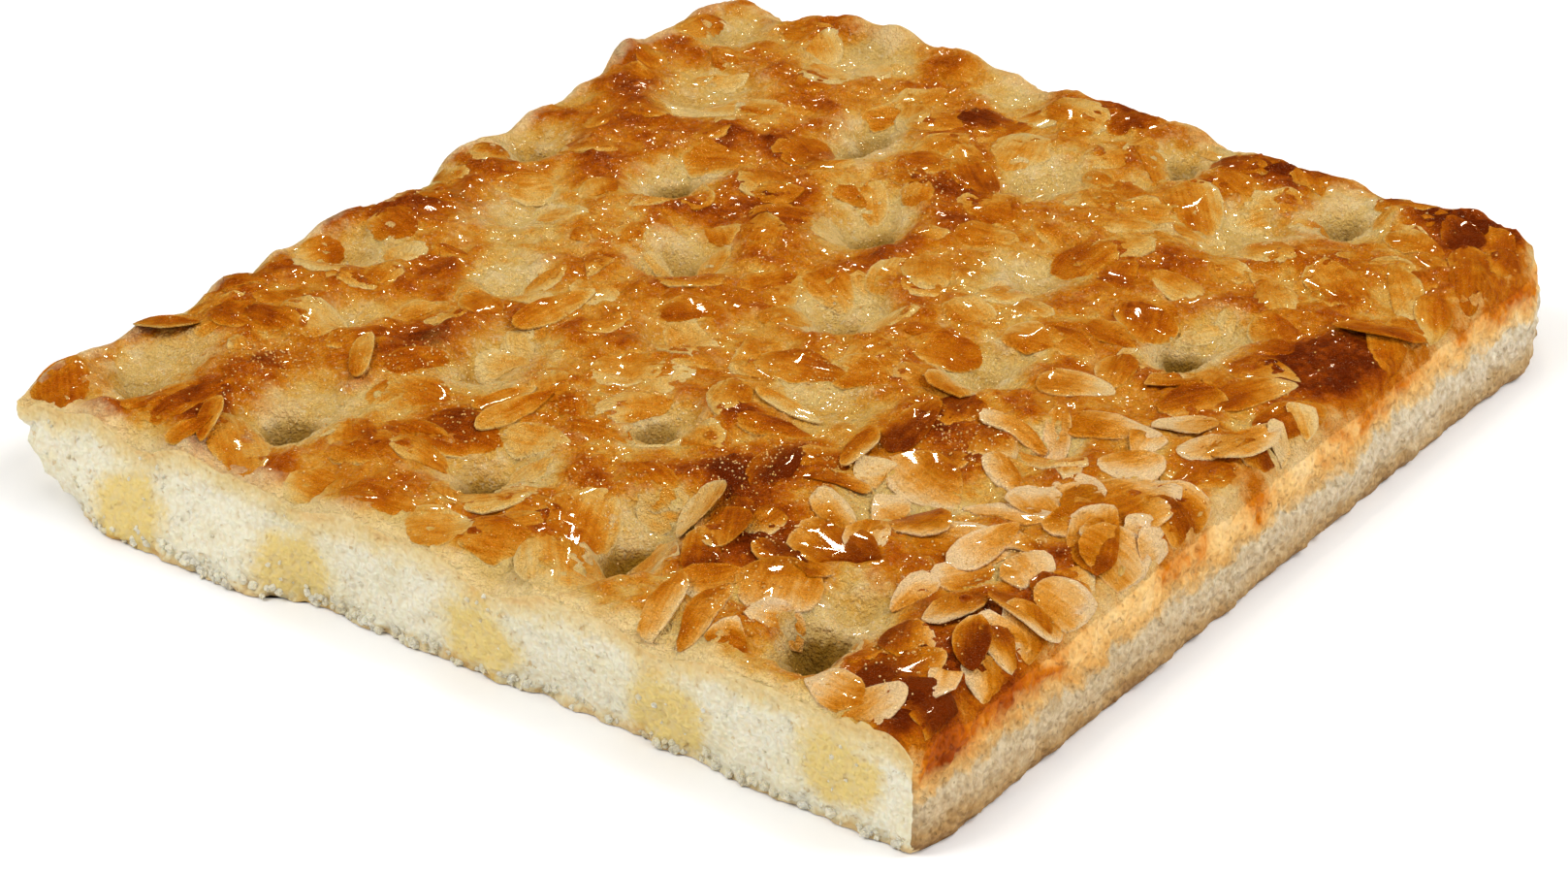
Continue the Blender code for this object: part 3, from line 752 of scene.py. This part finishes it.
def height_at(x, y, heights):
    """Bilinear height of a field at points given in millimetres."""
    u = np.clip((np.asarray(x) - field_x[0]) / step, 0, len(field_x) - 1.001)
    v = np.clip((np.asarray(y) - field_y[0]) / step, 0, len(field_y) - 1.001)
    i, j = u.astype(int), v.astype(int)
    a, b = u - i, v - j
    return (heights[j, i] * (1 - a) * (1 - b) + heights[j, i + 1] * a * (1 - b)
            + heights[j + 1, i] * (1 - a) * b + heights[j + 1, i + 1] * a * b)


def almond_master(name, sides, rings):
    """A slice one unit across: rim rings, a middle, and the thickness of the cut."""
    bpy.ops.object.select_all(action="DESELECT")
    bpy.ops.mesh.primitive_circle_add(vertices=sides, radius=0.5, fill_type="NGON")
    master = bpy.context.object
    master.name = name
    bpy.ops.object.mode_set(mode="EDIT")
    bpy.ops.mesh.select_all(action="SELECT")
    for width in rings:
        bpy.ops.mesh.inset(thickness=width)
    bpy.ops.mesh.poke()
    bpy.ops.object.mode_set(mode="OBJECT")
    wall = master.modifiers.new("thickness", "SOLIDIFY")  # each slice gets its own when it is laid
    wall.thickness = 1.0 * mm
    wall.offset = 0.0
    bpy.ops.object.modifier_apply(modifier=wall.name)
    return master


whole_slice = almond_master("almond_master", 20, (0.06, 0.15))
small_slice = almond_master("almond_small_master", 14, (0.08,))
draw = random.Random(11)
thin = 0.6  # of every slice, in millimetres
cut_left, cut_front = -114.7, -124.5  # the knife went through the slices that lay across its cuts
rim_right, rim_rear = 113.0, 122.5  # slices that reach past the baked rims are pressed in to them


def copied(master):
    """A copy of a modelled piece, with a mesh of its own."""
    piece = master.copy()
    piece.data = master.data.copy()
    bpy.context.scene.collection.objects.link(piece)
    return piece


def joined(pieces, name):
    """One piece made of many copies, with their places in its mesh."""
    bpy.ops.object.select_all(action="DESELECT")
    for piece in pieces:
        piece.select_set(True)
    whole = pieces[0]
    bpy.context.view_layer.objects.active = whole
    bpy.ops.object.transform_apply(location=True, rotation=True, scale=True)
    bpy.ops.object.join()
    whole.name = name
    return whole


def dryness(x, y):
    """How far the slices stay dry on top: they do towards the right front of the cake."""
    return min(1, max(0, (x - 20) / 60)) * min(1, max(0, (40 - y) / 60))


def lay_slice(master, x, y, length, width, turn, tone, lean, buried, broken):
    """Copies a slice, shapes its outline and lets it down on what lies there already."""
    piece = copied(master)
    unit = points_of(piece.data) * mm
    n = len(unit)
    u, v, skin = unit[:, 0] * 2, unit[:, 1] * 2, np.sign(unit[:, 2])
    reach, around = np.hypot(u, v), np.arctan2(v, u)
    phase = [draw.uniform(0, math.tau) for _ in range(5)]
    wave = 1 + 0.03 * np.sin(2 * around + phase[0]) + 0.03 * np.sin(3 * around + phase[1])
    wave += ((0.015 + 0.05 * broken) * np.sin(5 * around + phase[2])
             + 0.04 * broken * np.sin(8 * around + phase[3]))
    u, v = u * wave, v * wave
    for _ in range(1 if 0 < broken < 0.8 else 2 if broken else 0):
        toward, at = draw.uniform(0, math.tau), draw.uniform(0.25, 0.7)
        snapped = np.clip(u * math.cos(toward) + v * math.sin(toward) - at, 0, None) * 0.93
        u, v = u - snapped * math.cos(toward), v - snapped * math.sin(toward)
    a = u * length / 2
    b = v * width / 2 * (1 - 0.24 * u) * (1.06 - 0.12 * u * u)
    cos, sin = math.cos(math.radians(turn)), math.sin(math.radians(turn))
    px, py = x + a * cos - b * sin, y + a * sin + b * cos
    px = np.maximum(px, cut_left + 0.02 * (px - cut_left))
    py = np.maximum(py, cut_front + 0.02 * (py - cut_front))
    px = np.where(px > rim_right, rim_right + 0.18 * (px - rim_right), px)
    py = np.where(py > rim_rear, rim_rear + 0.18 * (py - rim_rear), py)

    # a loose slice bridges what lies under it, a buried one follows it
    under = height_at(px, py, heaped)
    fit = np.stack([px - x, py - y, np.ones(n)], 1)
    slope = np.linalg.lstsq(fit, under, rcond=None)[0]
    drape = 0.35 + 0.5 * buried
    lift = np.percentile(under - fit @ slope, 75) * (1 - 0.6 * buried)
    rise = 0.42 - 0.35 * buried
    z = (fit @ slope + lift) * (1 - drape) + under * drape + rise
    tilt = math.tan(math.radians(lean))
    z += tilt * b + abs(tilt) * width * 0.22
    cupped = draw.uniform(-0.2, 0.9) * (1 - 0.7 * buried)
    bowed = draw.uniform(-0.2, 0.5) * (1 - buried)
    z += cupped * (v * v) + bowed * u * u
    if lean == 0:
        z = np.maximum(z, height_at(px, py, bare) + 0.05)
    z += skin * 0.5 * thin * (1 - 0.45 * np.clip(reach, 0, 1) ** 4)
    if lean == 0:
        z -= 0.45 * buried * np.clip((reach - 0.75) / 0.25, 0, 1) ** 2
    piece.data.vertices.foreach_set("co", (np.stack([px, py, z], 1) * mm).astype(np.float32).ravel())

    # what lies on it next, and how far the glaze creeps up its rim
    along = ((plan_x - x) * cos + (plan_y - y) * sin) / (length / 2)
    across = (-(plan_x - x) * sin + (plan_y - y) * cos) / (width / 2)
    inside = along ** 2 + across ** 2
    plane = (plan_x - x) * slope[0] + (plan_y - y) * slope[1] + slope[2] + lift
    level = plane * (1 - drape) + heaped * drape + rise
    run_up = level - 0.42 + 0.42 * buried
    take = (inside < 1.06 + 0.1 * buried) & (run_up > glaze) & (run_up - bare < 1.6) & (lean == 0)
    glaze[take] = run_up[take]
    take = inside < 0.92
    heaped[take] = np.maximum(heaped, level + 0.5 * thin)[take]

    # red is its tone, green the way out to the rim, blue the crust's tone below, alpha side to side
    layer = piece.data.color_attributes.new("slice", "FLOAT_COLOR", "POINT")
    mark = np.ones((n, 4), np.float32)
    mark[:, 0] = tone
    mark[:, 1] = np.clip(reach, 0, 1)
    mark[:, 2] = height_at(px, py, toned) if lean == 0 else tone
    aside = draw.uniform(0, math.tau)
    mark[:, 3] = 0.5 + 0.5 * np.clip(reach * np.cos(around - aside), -1, 1)
    layer.data.foreach_set("color", mark.ravel())
    layer = piece.data.attributes.new("sunk", "FLOAT", "POINT")
    soaked_in = max(buried - 0.4 if lean == 0 else 0.1, 0.9 * (1 - dryness(x, y)))
    layer.data.foreach_set("value", np.full(n, soaked_in, np.float32))
    fibres = piece.data.uv_layers.new(name="grain")
    corners = np.empty(len(piece.data.loops), np.int32)
    piece.data.loops.foreach_get("vertex_index", corners)
    shift = draw.uniform(0, 50)
    uv = np.stack([(a[corners] + shift) / 20, (b[corners] + shift) / 20], 1).astype(np.float32)
    fibres.data.foreach_set("uv", uv.ravel())
    return piece


large = (  # middle x, y, length, width, turn, tone from pale 0 to dark 1, lean
    (25, -18, 13, 9, 0, 0.6, 0), (13, -23, 18, 11, 15, 0.72, 0), (48, -31, 19, 7.5, 97, 0.8, 0),
    (45, -46, 15, 5, -75, 0.55, 12), (62, -46, 22, 12.5, -25, 0.42, 0), (74, -36, 14, 6, -40, 0.45, 0),
    (52, -49, 9, 6.5, 60, 0.1, 0), (93, -17, 13, 10, 60, 0.2, 0), (110, -23, 15, 9, -15, 0.7, 0),
    (110, -30, 13, 7, -20, 0.75, 0), (100, -31, 27, 17, 72, 0.5, 0), (99, -64, 12, 9, -30, 0.15, 0),
    (104, -47, 21, 12, -60, 0.66, 10), (104, -46, 8, 7, 0, 0.55, 0), (110, -38, 10, 7.5, -10, 0.12, 0),
    (113, -39, 8, 6, 80, 0.05, 14), (110, -48, 14, 13, 10, 0.4, 0), (107, -65, 12, 10, -60, 0.62, 0),
    (111, -67, 14, 10, 5, 0.2, 0), (109, -77, 20, 8, 0, 0.45, -14), (107, -86, 10, 8, 20, 0.12, 10),
    (82, -62, 21, 13, 20, 0.58, 0), (86, -61, 15, 7, 75, 0.35, 6), (81, -7, 20, 9, 15, 0.4, 0),
    (73, -15, 16, 5, -60, 0.35, 0), (64, -18, 14, 6, 0, 0.3, 0), (57, -88, 16, 6.5, -20, 0.95, 0),
    (64, -79, 26, 13.5, -20, 0.92, 0), (41, -87, 14, 9, -60, 0.4, 6), (44, -95, 20, 10.5, -62, 0.74, 0),
    (15, -99, 24, 13, -65, 0.68, 0), (22, -114, 20, 16, -50, 0.18, 0), (5, -116, 15, 12, 25, 0.5, 0),
    (32, -83, 17, 7, -72, 0.2, 16), (62, -97, 20, 15, -70, 0.36, 0), (57, -113, 21, 7.5, -80, 0.52, 0),
    (49, -117, 21, 6, -75, 0.45, 8), (35, -62, 16, 9, -75, 0.9, 0), (55, -68, 15, 6, -30, 0.2, 0),
    (25, -48, 15, 6, 15, 0.75, 0), (22, -39, 16, 4, -10, 0.25, 10), (10, -44, 14, 8, -65, 0.22, 0),
    (84, -49, 18, 7, 20, 0.15, 0), (99, -108, 18, 10, 70, 0.9, 0), (107, -105, 12, 5, -68, 0.15, 16),
    (110, -115, 16, 12, -30, 0.93, 0), (101, -120, 13, 10, 70, 0.2, 0), (92, -120, 12, 11, 0, 0.35, 0),
    (110, -95, 20, 10, -42, 0.35, 0), (110, -81, 16, 8, -50, 0.5, 0), (105, -93, 14, 6, -60, 0.85, 8),
    (110, -89, 11, 6, -20, 0.55, 0), (-21, -117, 21, 9.5, 2, 0.55, 0), (-6, -118, 13, 11, 40, 0.4, 0),
    (-39, -119, 11, 10, 0, 0.62, 0), (-27, -87, 17, 13, 20, 0.88, 0), (-34, -91, 15, 5, 0, 0.6, 0),
    (-45, -78, 13, 11, 0, 0.5, 0), (-22, -75, 18, 4, 80, 0.45, 18), (-27, -72, 14, 4, 75, 0.4, 12),
    (-61, -116, 24, 13, -40, 0.42, 0), (-84, -69, 17, 13, -30, 0.22, 0), (-91, -73, 14, 7.5, 0, 0.66, 0),
    (-111, -119, 18, 12, -45, 0.38, 0), (-81, -109, 21, 7.5, 80, 0.74, 0), (-77, -88, 12, 7, -15, 0.78, 0),
    (-71, -115, 15, 4, -60, 0.3, 14), (-72, -120, 10, 4, 70, 0.45, 20), (-54, -69, 14, 7, 70, 0.75, 0),
    (-63, -76, 15, 5, -55, 0.3, 10), (-15, -46, 15, 13, 30, 0.45, 0), (-32, -32, 12, 7.5, 80, 0.62, 0),
    (-44, -35, 22, 7, 82, 0.3, 10), (-14, -24, 14, 9, -10, 0.2, 0), (-20, -17, 14, 8, 30, 0.66, 0),
    (-3, -58, 15, 12, 60, 0.3, 0), (-14, -65, 10, 6, -50, 0.55, 0), (-42, -55, 12, 8, 20, 0.25, 0),
    (-109, -88, 13, 7, 30, 0.75, -16), (-38, -107, 11, 6, 0, 0.6, 0), (-13, -79, 13, 8, 10, 0.4, 0),
    (34, 2, 14, 11, 40, 0.78, 0), (29, 18, 13, 9, -30, 0.42, 0), (46, 16, 12, 9.5, 0, 0.5, 0),
    (61, 38, 14, 11.5, -70, 0.78, 0), (59, 28, 13, 7, -10, 0.6, 0), (68, 15, 13, 7.5, -70, 0.62, 0),
    (105, 63, 20, 8, 35, 0.6, -16), (86, 52, 14, 11, -50, 0.6, 0), (89, 44, 10, 7, 20, 0.66, 0),
    (97, 23, 19, 8, 65, 0.62, 0), (108, 20, 17, 8, 75, 0.7, 0), (107, 4, 20, 8, 80, 0.3, -12),
    (110, 3, 8, 6, 40, 0.85, 0), (111, 21, 10, 5.5, -30, 0.08, 12), (112, 11, 10, 4.5, -35, 0.08, 12),
    (87, 77, 22, 13, -40, 0.55, 0), (35, 55, 14, 12, 80, 0.66, 0), (47, 52, 11, 9, 10, 0.62, 0),
    (106, 100, 22, 8, -60, 0.5, 0), (41, 91, 23, 12, -50, 0.52, 0), (99, 82, 22, 9, -50, 0.22, 0),
    (65, 4, 15, 9, 20, 0.2, 0), (102, -2, 13, 8, 60, 0.2, 0), (-22, 100, 14, 10, 0, 0.85, 0),
    (-47, 62, 17, 12, -20, 0.8, 0), (-62, 48, 16, 13, 10, 0.55, 0), (-39, 19, 11, 7, -40, 0.35, 0),
    (-7, 73, 18, 9, -45, 0.66, 0), (110, 94, 18, 8, -60, 0.5, 0), (110, 77, 16, 7, -60, 0.42, 0),
    (110, 58, 14, 8, -50, 0.6, 0), (-109, 102, 14, 8, 80, 0.55, 0), (-73, 17, 12, 8, -50, 0.5, 0),
    (11, 51, 14, 9, 20, 0.4, 0), (-4, 12, 14, 8, -20, 0.5, 0), (-69, -50, 12, 8, 40, 0.45, 0),
    (-99, -24, 14, 9, -20, 0.6, 0), (-16, 5, 13, 7, 70, 0.62, 0), (21, 103, 16, 9, -50, 0.6, 0),
)


def hollowness(x, y):
    """Nought on the ridges, and one and more in the middle of a hollow."""
    return max(max(0.0, 1.15 - math.hypot((x - h[0]) / h[2], (y - h[1]) / h[3])) for h in hollows)


small_count = 200
small = []
taken = [(s[0], s[1]) for s in large]
while len(small) < small_count:
    x, y = draw.uniform(-112, 110), draw.uniform(-121, 120)
    right = min(1, max(0, (x + 60) / 150)) * (1 - 0.45 * max(0, y) / 120)
    if draw.random() > 0.4 + 0.6 * right or hollowness(x, y) > 0.5 + 0.35 * draw.random():
        continue
    if any(b[3] > 0.85 and math.hypot(x - b[0], y - b[1]) < b[2] for b in browned):
        continue
    if all(math.hypot(x - p, y - q) > 6.2 for p, q in taken):
        taken.append((x, y))
        length = draw.uniform(10, 19)
        small.append((x, y, length, length * draw.uniform(0.5, 0.8), draw.uniform(0, 360)))

brown_grid = brown[by_row].reshape(deep + 1, wide + 1)
toned = np.pad(brown_grid, border, mode="edge")  # how brown the crust is, on the field of heights


def crust_tone(x, y):
    """How brown the crust is at the plan point nearest to a place."""
    row = round(min(to_back, max(-to_back, y)) + to_back)
    column = round(min(to_side, max(-to_side, x)) + to_side)
    return brown_grid[row, column]


laid = []
for x, y, length, width, turn in small:
    dry = dryness(x, y)
    tone = 0.14 + 0.65 * crust_tone(x, y) + draw.gauss(0, 0.08 + 0.10 * dry)
    tone = min(0.95, max(0.02, tone))
    lean = draw.choice((0, 0, 7, -8)) if dry > 0.3 else 0
    buried = draw.uniform(0.85, 1.0)
    broken = draw.choice((0, 0, 0.5, 1.0))
    laid.append(lay_slice(small_slice, x, y, length, width, turn, tone, lean, buried, broken))
for x, y, length, width, turn, tone, lean in large:
    dry, local = dryness(x, y), crust_tone(x, y)
    tone = 0.02 - 0.08 * dry + (0.5 + 0.3 * dry) * (tone - local) + local
    free = min(1, max(0, (x + 20) / 100)) * min(1, max(0.35, (60 - y) / 60))
    buried = 1.0 - 0.45 * free if lean == 0 else 0.3
    broken = draw.choice((0, 0, 0, 0.5)) if length > 12 else 0.5
    grown = 1.16 if length < 20 else 1.06
    length, width = grown * length, grown * width
    laid.append(lay_slice(whole_slice, x, y, length, width, turn, tone, lean, buried, broken))

# the crust takes up the glaze that has run round the slices
co = points_of(cake.data)
run_up = np.minimum(glaze, heaped) - bare
co[:top_points, 2] += height_at(co[:top_points, 0], co[:top_points, 1], run_up)
cake.data.vertices.foreach_set("co", (co * mm).astype(np.float32).ravel())
cake.data.update()

for master in (whole_slice, small_slice):
    bpy.data.objects.remove(master)
almonds = joined(laid, "flaked_almonds")
bpy.ops.object.shade_smooth_by_angle(angle=math.radians(50))

toasted, nodes, links, shader = plain_material("toasted_almond")
own_tone, outward, tone_below, to_one_side = channels(nodes, links, "slice")
sunk = mask_node(nodes, "sunk")
loose = math_node(nodes, links, "SUBTRACT", 1.0, sunk)
inward = math_node(nodes, links, "SUBTRACT", 1.0, outward)
inward = math_node(nodes, links, "POWER", inward, 0.6)

# its own tone in the middle and where it lies loose, the crust's at a rim that sank in
own = math_node(nodes, links, "MULTIPLY_ADD", loose, 1.6, 0.25)
own = math_node(nodes, links, "MULTIPLY_ADD", inward, 3.0, own, clamp=True)
tone = math_node(nodes, links, "SUBTRACT", own_tone, tone_below)
tone = math_node(nodes, links, "MULTIPLY_ADD", tone, own, tone_below)

# darker in the middle and to one side, and a painted highlight at the very rim, where the edge catches
# light
darker = math_node(nodes, links, "MULTIPLY_ADD", loose, 0.08, 0.09)
tone = math_node(nodes, links, "MULTIPLY_ADD", inward, darker, tone)
rim_highlight = math_node(nodes, links, "POWER", outward, 13.0)
tone = math_node(nodes, links, "MULTIPLY_ADD", rim_highlight, -0.16, tone)
aside = math_node(nodes, links, "SUBTRACT", to_one_side, 0.5)
how_far = math_node(nodes, links, "MULTIPLY_ADD", loose, 0.55, 0.32)
aside = math_node(nodes, links, "MULTIPLY", aside, how_far)
tone = math_node(nodes, links, "ADD", aside, tone)

# fine fibres along its length, and clouds
strand = nodes.new("ShaderNodeUVMap")
strand.uv_map = "grain"
stretch = nodes.new("ShaderNodeMapping")
stretch.inputs["Scale"].default_value = (1.6, 20.0, 1.0)
links.new(strand.outputs["UV"], stretch.inputs["Vector"])
fibre = noise_node(nodes, links, stretch.outputs["Vector"], 1.0, 3.0).outputs["Fac"]
fibre = math_node(nodes, links, "SUBTRACT", fibre, 0.5)
tone = math_node(nodes, links, "MULTIPLY_ADD", fibre, 0.45, tone)
tone = math_node(nodes, links, "MULTIPLY_ADD", mottle_node(nodes, 75.0, 300.0), 0.65, tone)
tone = math_node(nodes, links, "SUBTRACT", tone, 0.07, clamp=True)
colour = ramp_node(nodes, links, tone, (
    (0.0, (0.95, 0.61, 0.31)), (0.18, (0.91, 0.475, 0.16)), (0.36, (0.79, 0.31, 0.038)),
    (0.54, (0.60, 0.180, 0.004)), (0.76, (0.39, 0.082, 0.001)), (1.0, (0.18, 0.024, 0.001)),
))
under_film = ramp_node(nodes, links, tone, crust_stops)
links.new(tinted(nodes, links, colour, sunk, 0.9, under_film), shader.inputs["Base Color"])
dress(shader, {
    "Roughness": 0.4, "Specular IOR Level": 0.25, "Specular Tint": (1.0, 0.55, 0.15, 1),
    "Coat Weight": 0.42, "Coat Roughness": 0.05, "Subsurface Weight": 0.15,
    "Subsurface Radius": (0.003, 0.002, 0.0008), "Subsurface Scale": 1.0,
})
grain_bump(nodes, links, shader, ((2200.0, 0.8), (1100.0, 0.9), (500.0, 0.9)), 0.0011, 1.0)
almonds.data.materials.clear()
almonds.data.materials.append(toasted)
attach(almonds, "root")

# ------------------------------------------------------------------------------------------
# Crumbs. The knife tears the soft crumb, and bits of it cling to the two cut faces, most of
# them along the foot, where the tray side of the slab broke instead of cutting.
# ------------------------------------------------------------------------------------------
crumb_count = 420
crumb_masters = []
for k in range(3):  # three unlike lumps, copied in turn
    bpy.ops.object.select_all(action="DESELECT")
    bpy.ops.mesh.primitive_ico_sphere_add(subdivisions=2, radius=0.5)
    bit = bpy.context.object
    lumps = bpy.data.textures.new("crumb_lumps", "CLOUDS")
    lumps.noise_scale = 0.28 + 0.06 * k
    lumps.noise_depth = 1
    knead = bit.modifiers.new("lumps", "DISPLACE")
    knead.texture, knead.strength, knead.texture_coords = lumps, 0.6, "LOCAL"
    bpy.ops.object.modifier_apply(modifier=knead.name)
    crumb_masters.append(bit)

cake_shape = BVHTree.FromObject(cake, bpy.context.evaluated_depsgraph_get())
bits = []
for k in range(crumb_count):
    front = draw.random() < 0.68
    low = draw.random() < 0.62
    z = abs(draw.gauss(0.4, 1.6)) + 0.3 if low else draw.uniform(2, 19)
    size = draw.uniform(0.8, 2.6) if low else draw.uniform(0.5, 1.3)
    if front:
        start, aim = Vector((draw.uniform(-108, 112) * mm, -0.16, z * mm)), Vector((0, 1, 0))
    else:
        start, aim = Vector((-0.15, draw.uniform(-122, 122) * mm, z * mm)), Vector((1, 0, 0))
    hit = cake_shape.ray_cast(start, aim)[0]
    if hit is None:
        continue
    bit = copied(crumb_masters[k % 3])
    bit.location = hit + aim * (0.12 * size * mm)
    bit.location.z = max(bit.location.z, 0.42 * size * mm)
    bit.rotation_euler = [draw.uniform(0, math.tau) for _ in range(3)]
    bit.scale = [size * mm * draw.uniform(0.75, 1.2) for _ in range(3)]
    bits.append(bit)
for bit in crumb_masters:
    bpy.data.objects.remove(bit)
crumbs = joined(bits, "crumbs")
co = points_of(crumbs.data)
co[:, 2] = np.maximum(co[:, 2], 0.02)  # none goes below the table
crumbs.data.vertices.foreach_set("co", (co * mm).astype(np.float32).ravel())
bpy.ops.object.shade_smooth_by_angle(angle=math.radians(40))

loose_crumb, nodes, links, shader = plain_material("loose_crumb")
clouds = mottle_node(nodes, 120.0, 1400.0)
colour = ramp_node(nodes, links, math_node(nodes, links, "ADD", clouds, 0.5), (
    (0.2, (0.76, 0.56, 0.29)), (0.42, (0.87, 0.77, 0.54)), (0.7, (0.92, 0.86, 0.68)),
))
links.new(colour, shader.inputs["Base Color"])
dress(shader, {
    "Roughness": 0.85, "Subsurface Weight": 0.2, "Subsurface Radius": (0.003, 0.002, 0.001),
    "Subsurface Scale": 1.0,
})
grain_bump(nodes, links, shader, ((1800.0, 1.0), (800.0, 1.0)), 0.0012, 0.9)
crumbs.data.materials.clear()
crumbs.data.materials.append(loose_crumb)
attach(crumbs, "root")

# ------------------------------------------------------------------------------------------
# Sugar. Granulated sugar went over the butter before baking; what did not melt glitters as
# single grains a third of a millimetre across, thickest where the butter ran together.
# ------------------------------------------------------------------------------------------
bpy.ops.object.select_all(action="DESELECT")
bpy.ops.mesh.primitive_cube_add(size=1)
grain = bpy.context.object
bpy.ops.object.mode_set(mode="EDIT")
bpy.ops.mesh.bevel(offset=0.16, segments=1, affect="EDGES")
bpy.ops.object.mode_set(mode="OBJECT")
thickest = (  # middle x, y, reach
    (10, -92, 12), (60, -105, 10), (52, -54, 12), (-70, -100, 12), (-10, -60, 12), (-30, -80, 12),
    (30, -64, 12), (50, -84, 12), (-48, -70, 10), (88, -60, 12), (60, -30, 10), (-80, -86, 10),
    (20, -20, 12), (-60, 10, 14), (-20, 60, 14), (96, -100, 10),
)
grain_count = 3400
lying_on = np.maximum(heaped, glaze)
grains = []
for k in range(grain_count):
    if k % 5 < 3:
        x, y, reach = thickest[draw.randrange(len(thickest))]
        x, y = draw.gauss(x, reach * 0.6), draw.gauss(y, reach * 0.6)
    else:
        x, y = draw.uniform(-112, 111), draw.uniform(-122, 121)
    if not (-113 < x < 112 and -123 < y < 122):
        continue
    bit = copied(grain)
    size = draw.uniform(0.18, 0.40)
    bit.location = (x * mm, y * mm, (float(height_at(x, y, lying_on)) + 0.1 * size) * mm)
    bit.rotation_euler = [draw.uniform(0, math.tau) for _ in range(3)]
    bit.scale = (size * mm, size * mm, size * mm * draw.uniform(0.8, 1.3))
    grains.append(bit)
bpy.data.objects.remove(grain)
sugar = joined(grains, "sugar_grains")

crystal, nodes, links, shader = plain_material("sugar_crystal")
clouds = mottle_node(nodes, 60.0, 2500.0)
colour = ramp_node(nodes, links, math_node(nodes, links, "ADD", clouds, 0.5), (
    (0.25, (0.58, 0.28, 0.05)), (0.55, (0.72, 0.43, 0.14)), (0.85, (0.85, 0.66, 0.38)),
))
links.new(colour, shader.inputs["Base Color"])
dress(shader, {"Roughness": 0.08, "IOR": 1.56})
sugar.data.materials.clear()
sugar.data.materials.append(crystal)
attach(sugar, "root")

# ------------------------------------------------------------------------------------------
# Everything is moved so that the slab's box stands over the origin, as it is packed.
# ------------------------------------------------------------------------------------------
for piece in (cake, almonds, crumbs, sugar):
    bpy.ops.object.select_all(action="DESELECT")
    bpy.context.view_layer.objects.active = piece
    piece.select_set(True)
    bpy.ops.transform.translate(value=(-box_middle[0] * mm, -box_middle[1] * mm, 0))
    bpy.ops.object.transform_apply(location=True, rotation=False, scale=False)

# ------------------------------------------------------------------------------------------
# The table: a plain near-white floor, soft light from a window in front on the left with softer
# lamps above and on the right, and five small warm lamps that glitter in the glaze.
# ------------------------------------------------------------------------------------------
bpy.ops.object.select_all(action="DESELECT")
bpy.ops.mesh.primitive_plane_add(size=8, location=(0, 0, -0.0002))
floor = bpy.context.object
floor.name = "floor"
white, nodes, links, shader = plain_material("white_floor")
dress(shader, {"Base Color": (0.92, 0.92, 0.92, 1), "Roughness": 0.9})
floor.data.materials.append(white)
floor.visible_glossy = False

for name, at, size, power, mirrored in (  # metres, watts, and whether the glaze mirrors it
    ("window", (-1.4, -1.75, 2.4), 1.5, 67.5, False),
    ("back_left", (-0.9, 1.15, 1.0), 0.08, 2.4, True),
    ("back_middle", (-0.2, 1.3, 0.9), 0.05, 1.2, True),
    ("above", (-0.35, 0.45, 1.5), 0.04, 0.9, True),
    ("left", (-1.5, -0.1, 0.9), 0.04, 0.8, True),
    ("rear", (0.5, 1.5, 1.4), 0.04, 0.8, True),
    ("overhead", (-0.2, -0.2, 2.4), 1.2, 8.0, False),
    ("rear_right", (1.3, 0.9, 2.0), 1.0, 37.0, False),
    ("right_fill", (2.4, -0.5, 1.2), 1.8, 30.0, False),
):
    lamp = bpy.data.lights.new(name, "AREA")
    lamp.size = size
    lamp.energy = power
    if mirrored:
        lamp.color = (1.0, 0.84, 0.62)
    holder = bpy.data.objects.new(name, lamp)
    holder.location = at
    holder.rotation_euler = (-Vector(at)).to_track_quat("-Z", "Y").to_euler()
    holder.visible_glossy = mirrored
    bpy.context.scene.collection.objects.link(holder)
world = bpy.data.worlds.new("surround")
world.use_nodes = True
dress(world.node_tree.nodes["Background"], {"Color": (1, 1, 1, 1), "Strength": 0.14})
world.cycles_visibility.glossy = False
bpy.context.scene.world = world
bpy.context.scene.view_settings.view_transform = "Standard"

lens = bpy.data.cameras.new("camera")
lens.lens = 100
lens.sensor_width = 36
camera = bpy.data.objects.new("camera", lens)
camera.location = (0.4896, -0.6736, 0.4709)
camera.rotation_euler = Vector((-0.5159, 0.6983, -0.4963)).to_track_quat("-Z", "Y").to_euler()
bpy.context.scene.collection.objects.link(camera)
bpy.context.scene.camera = camera
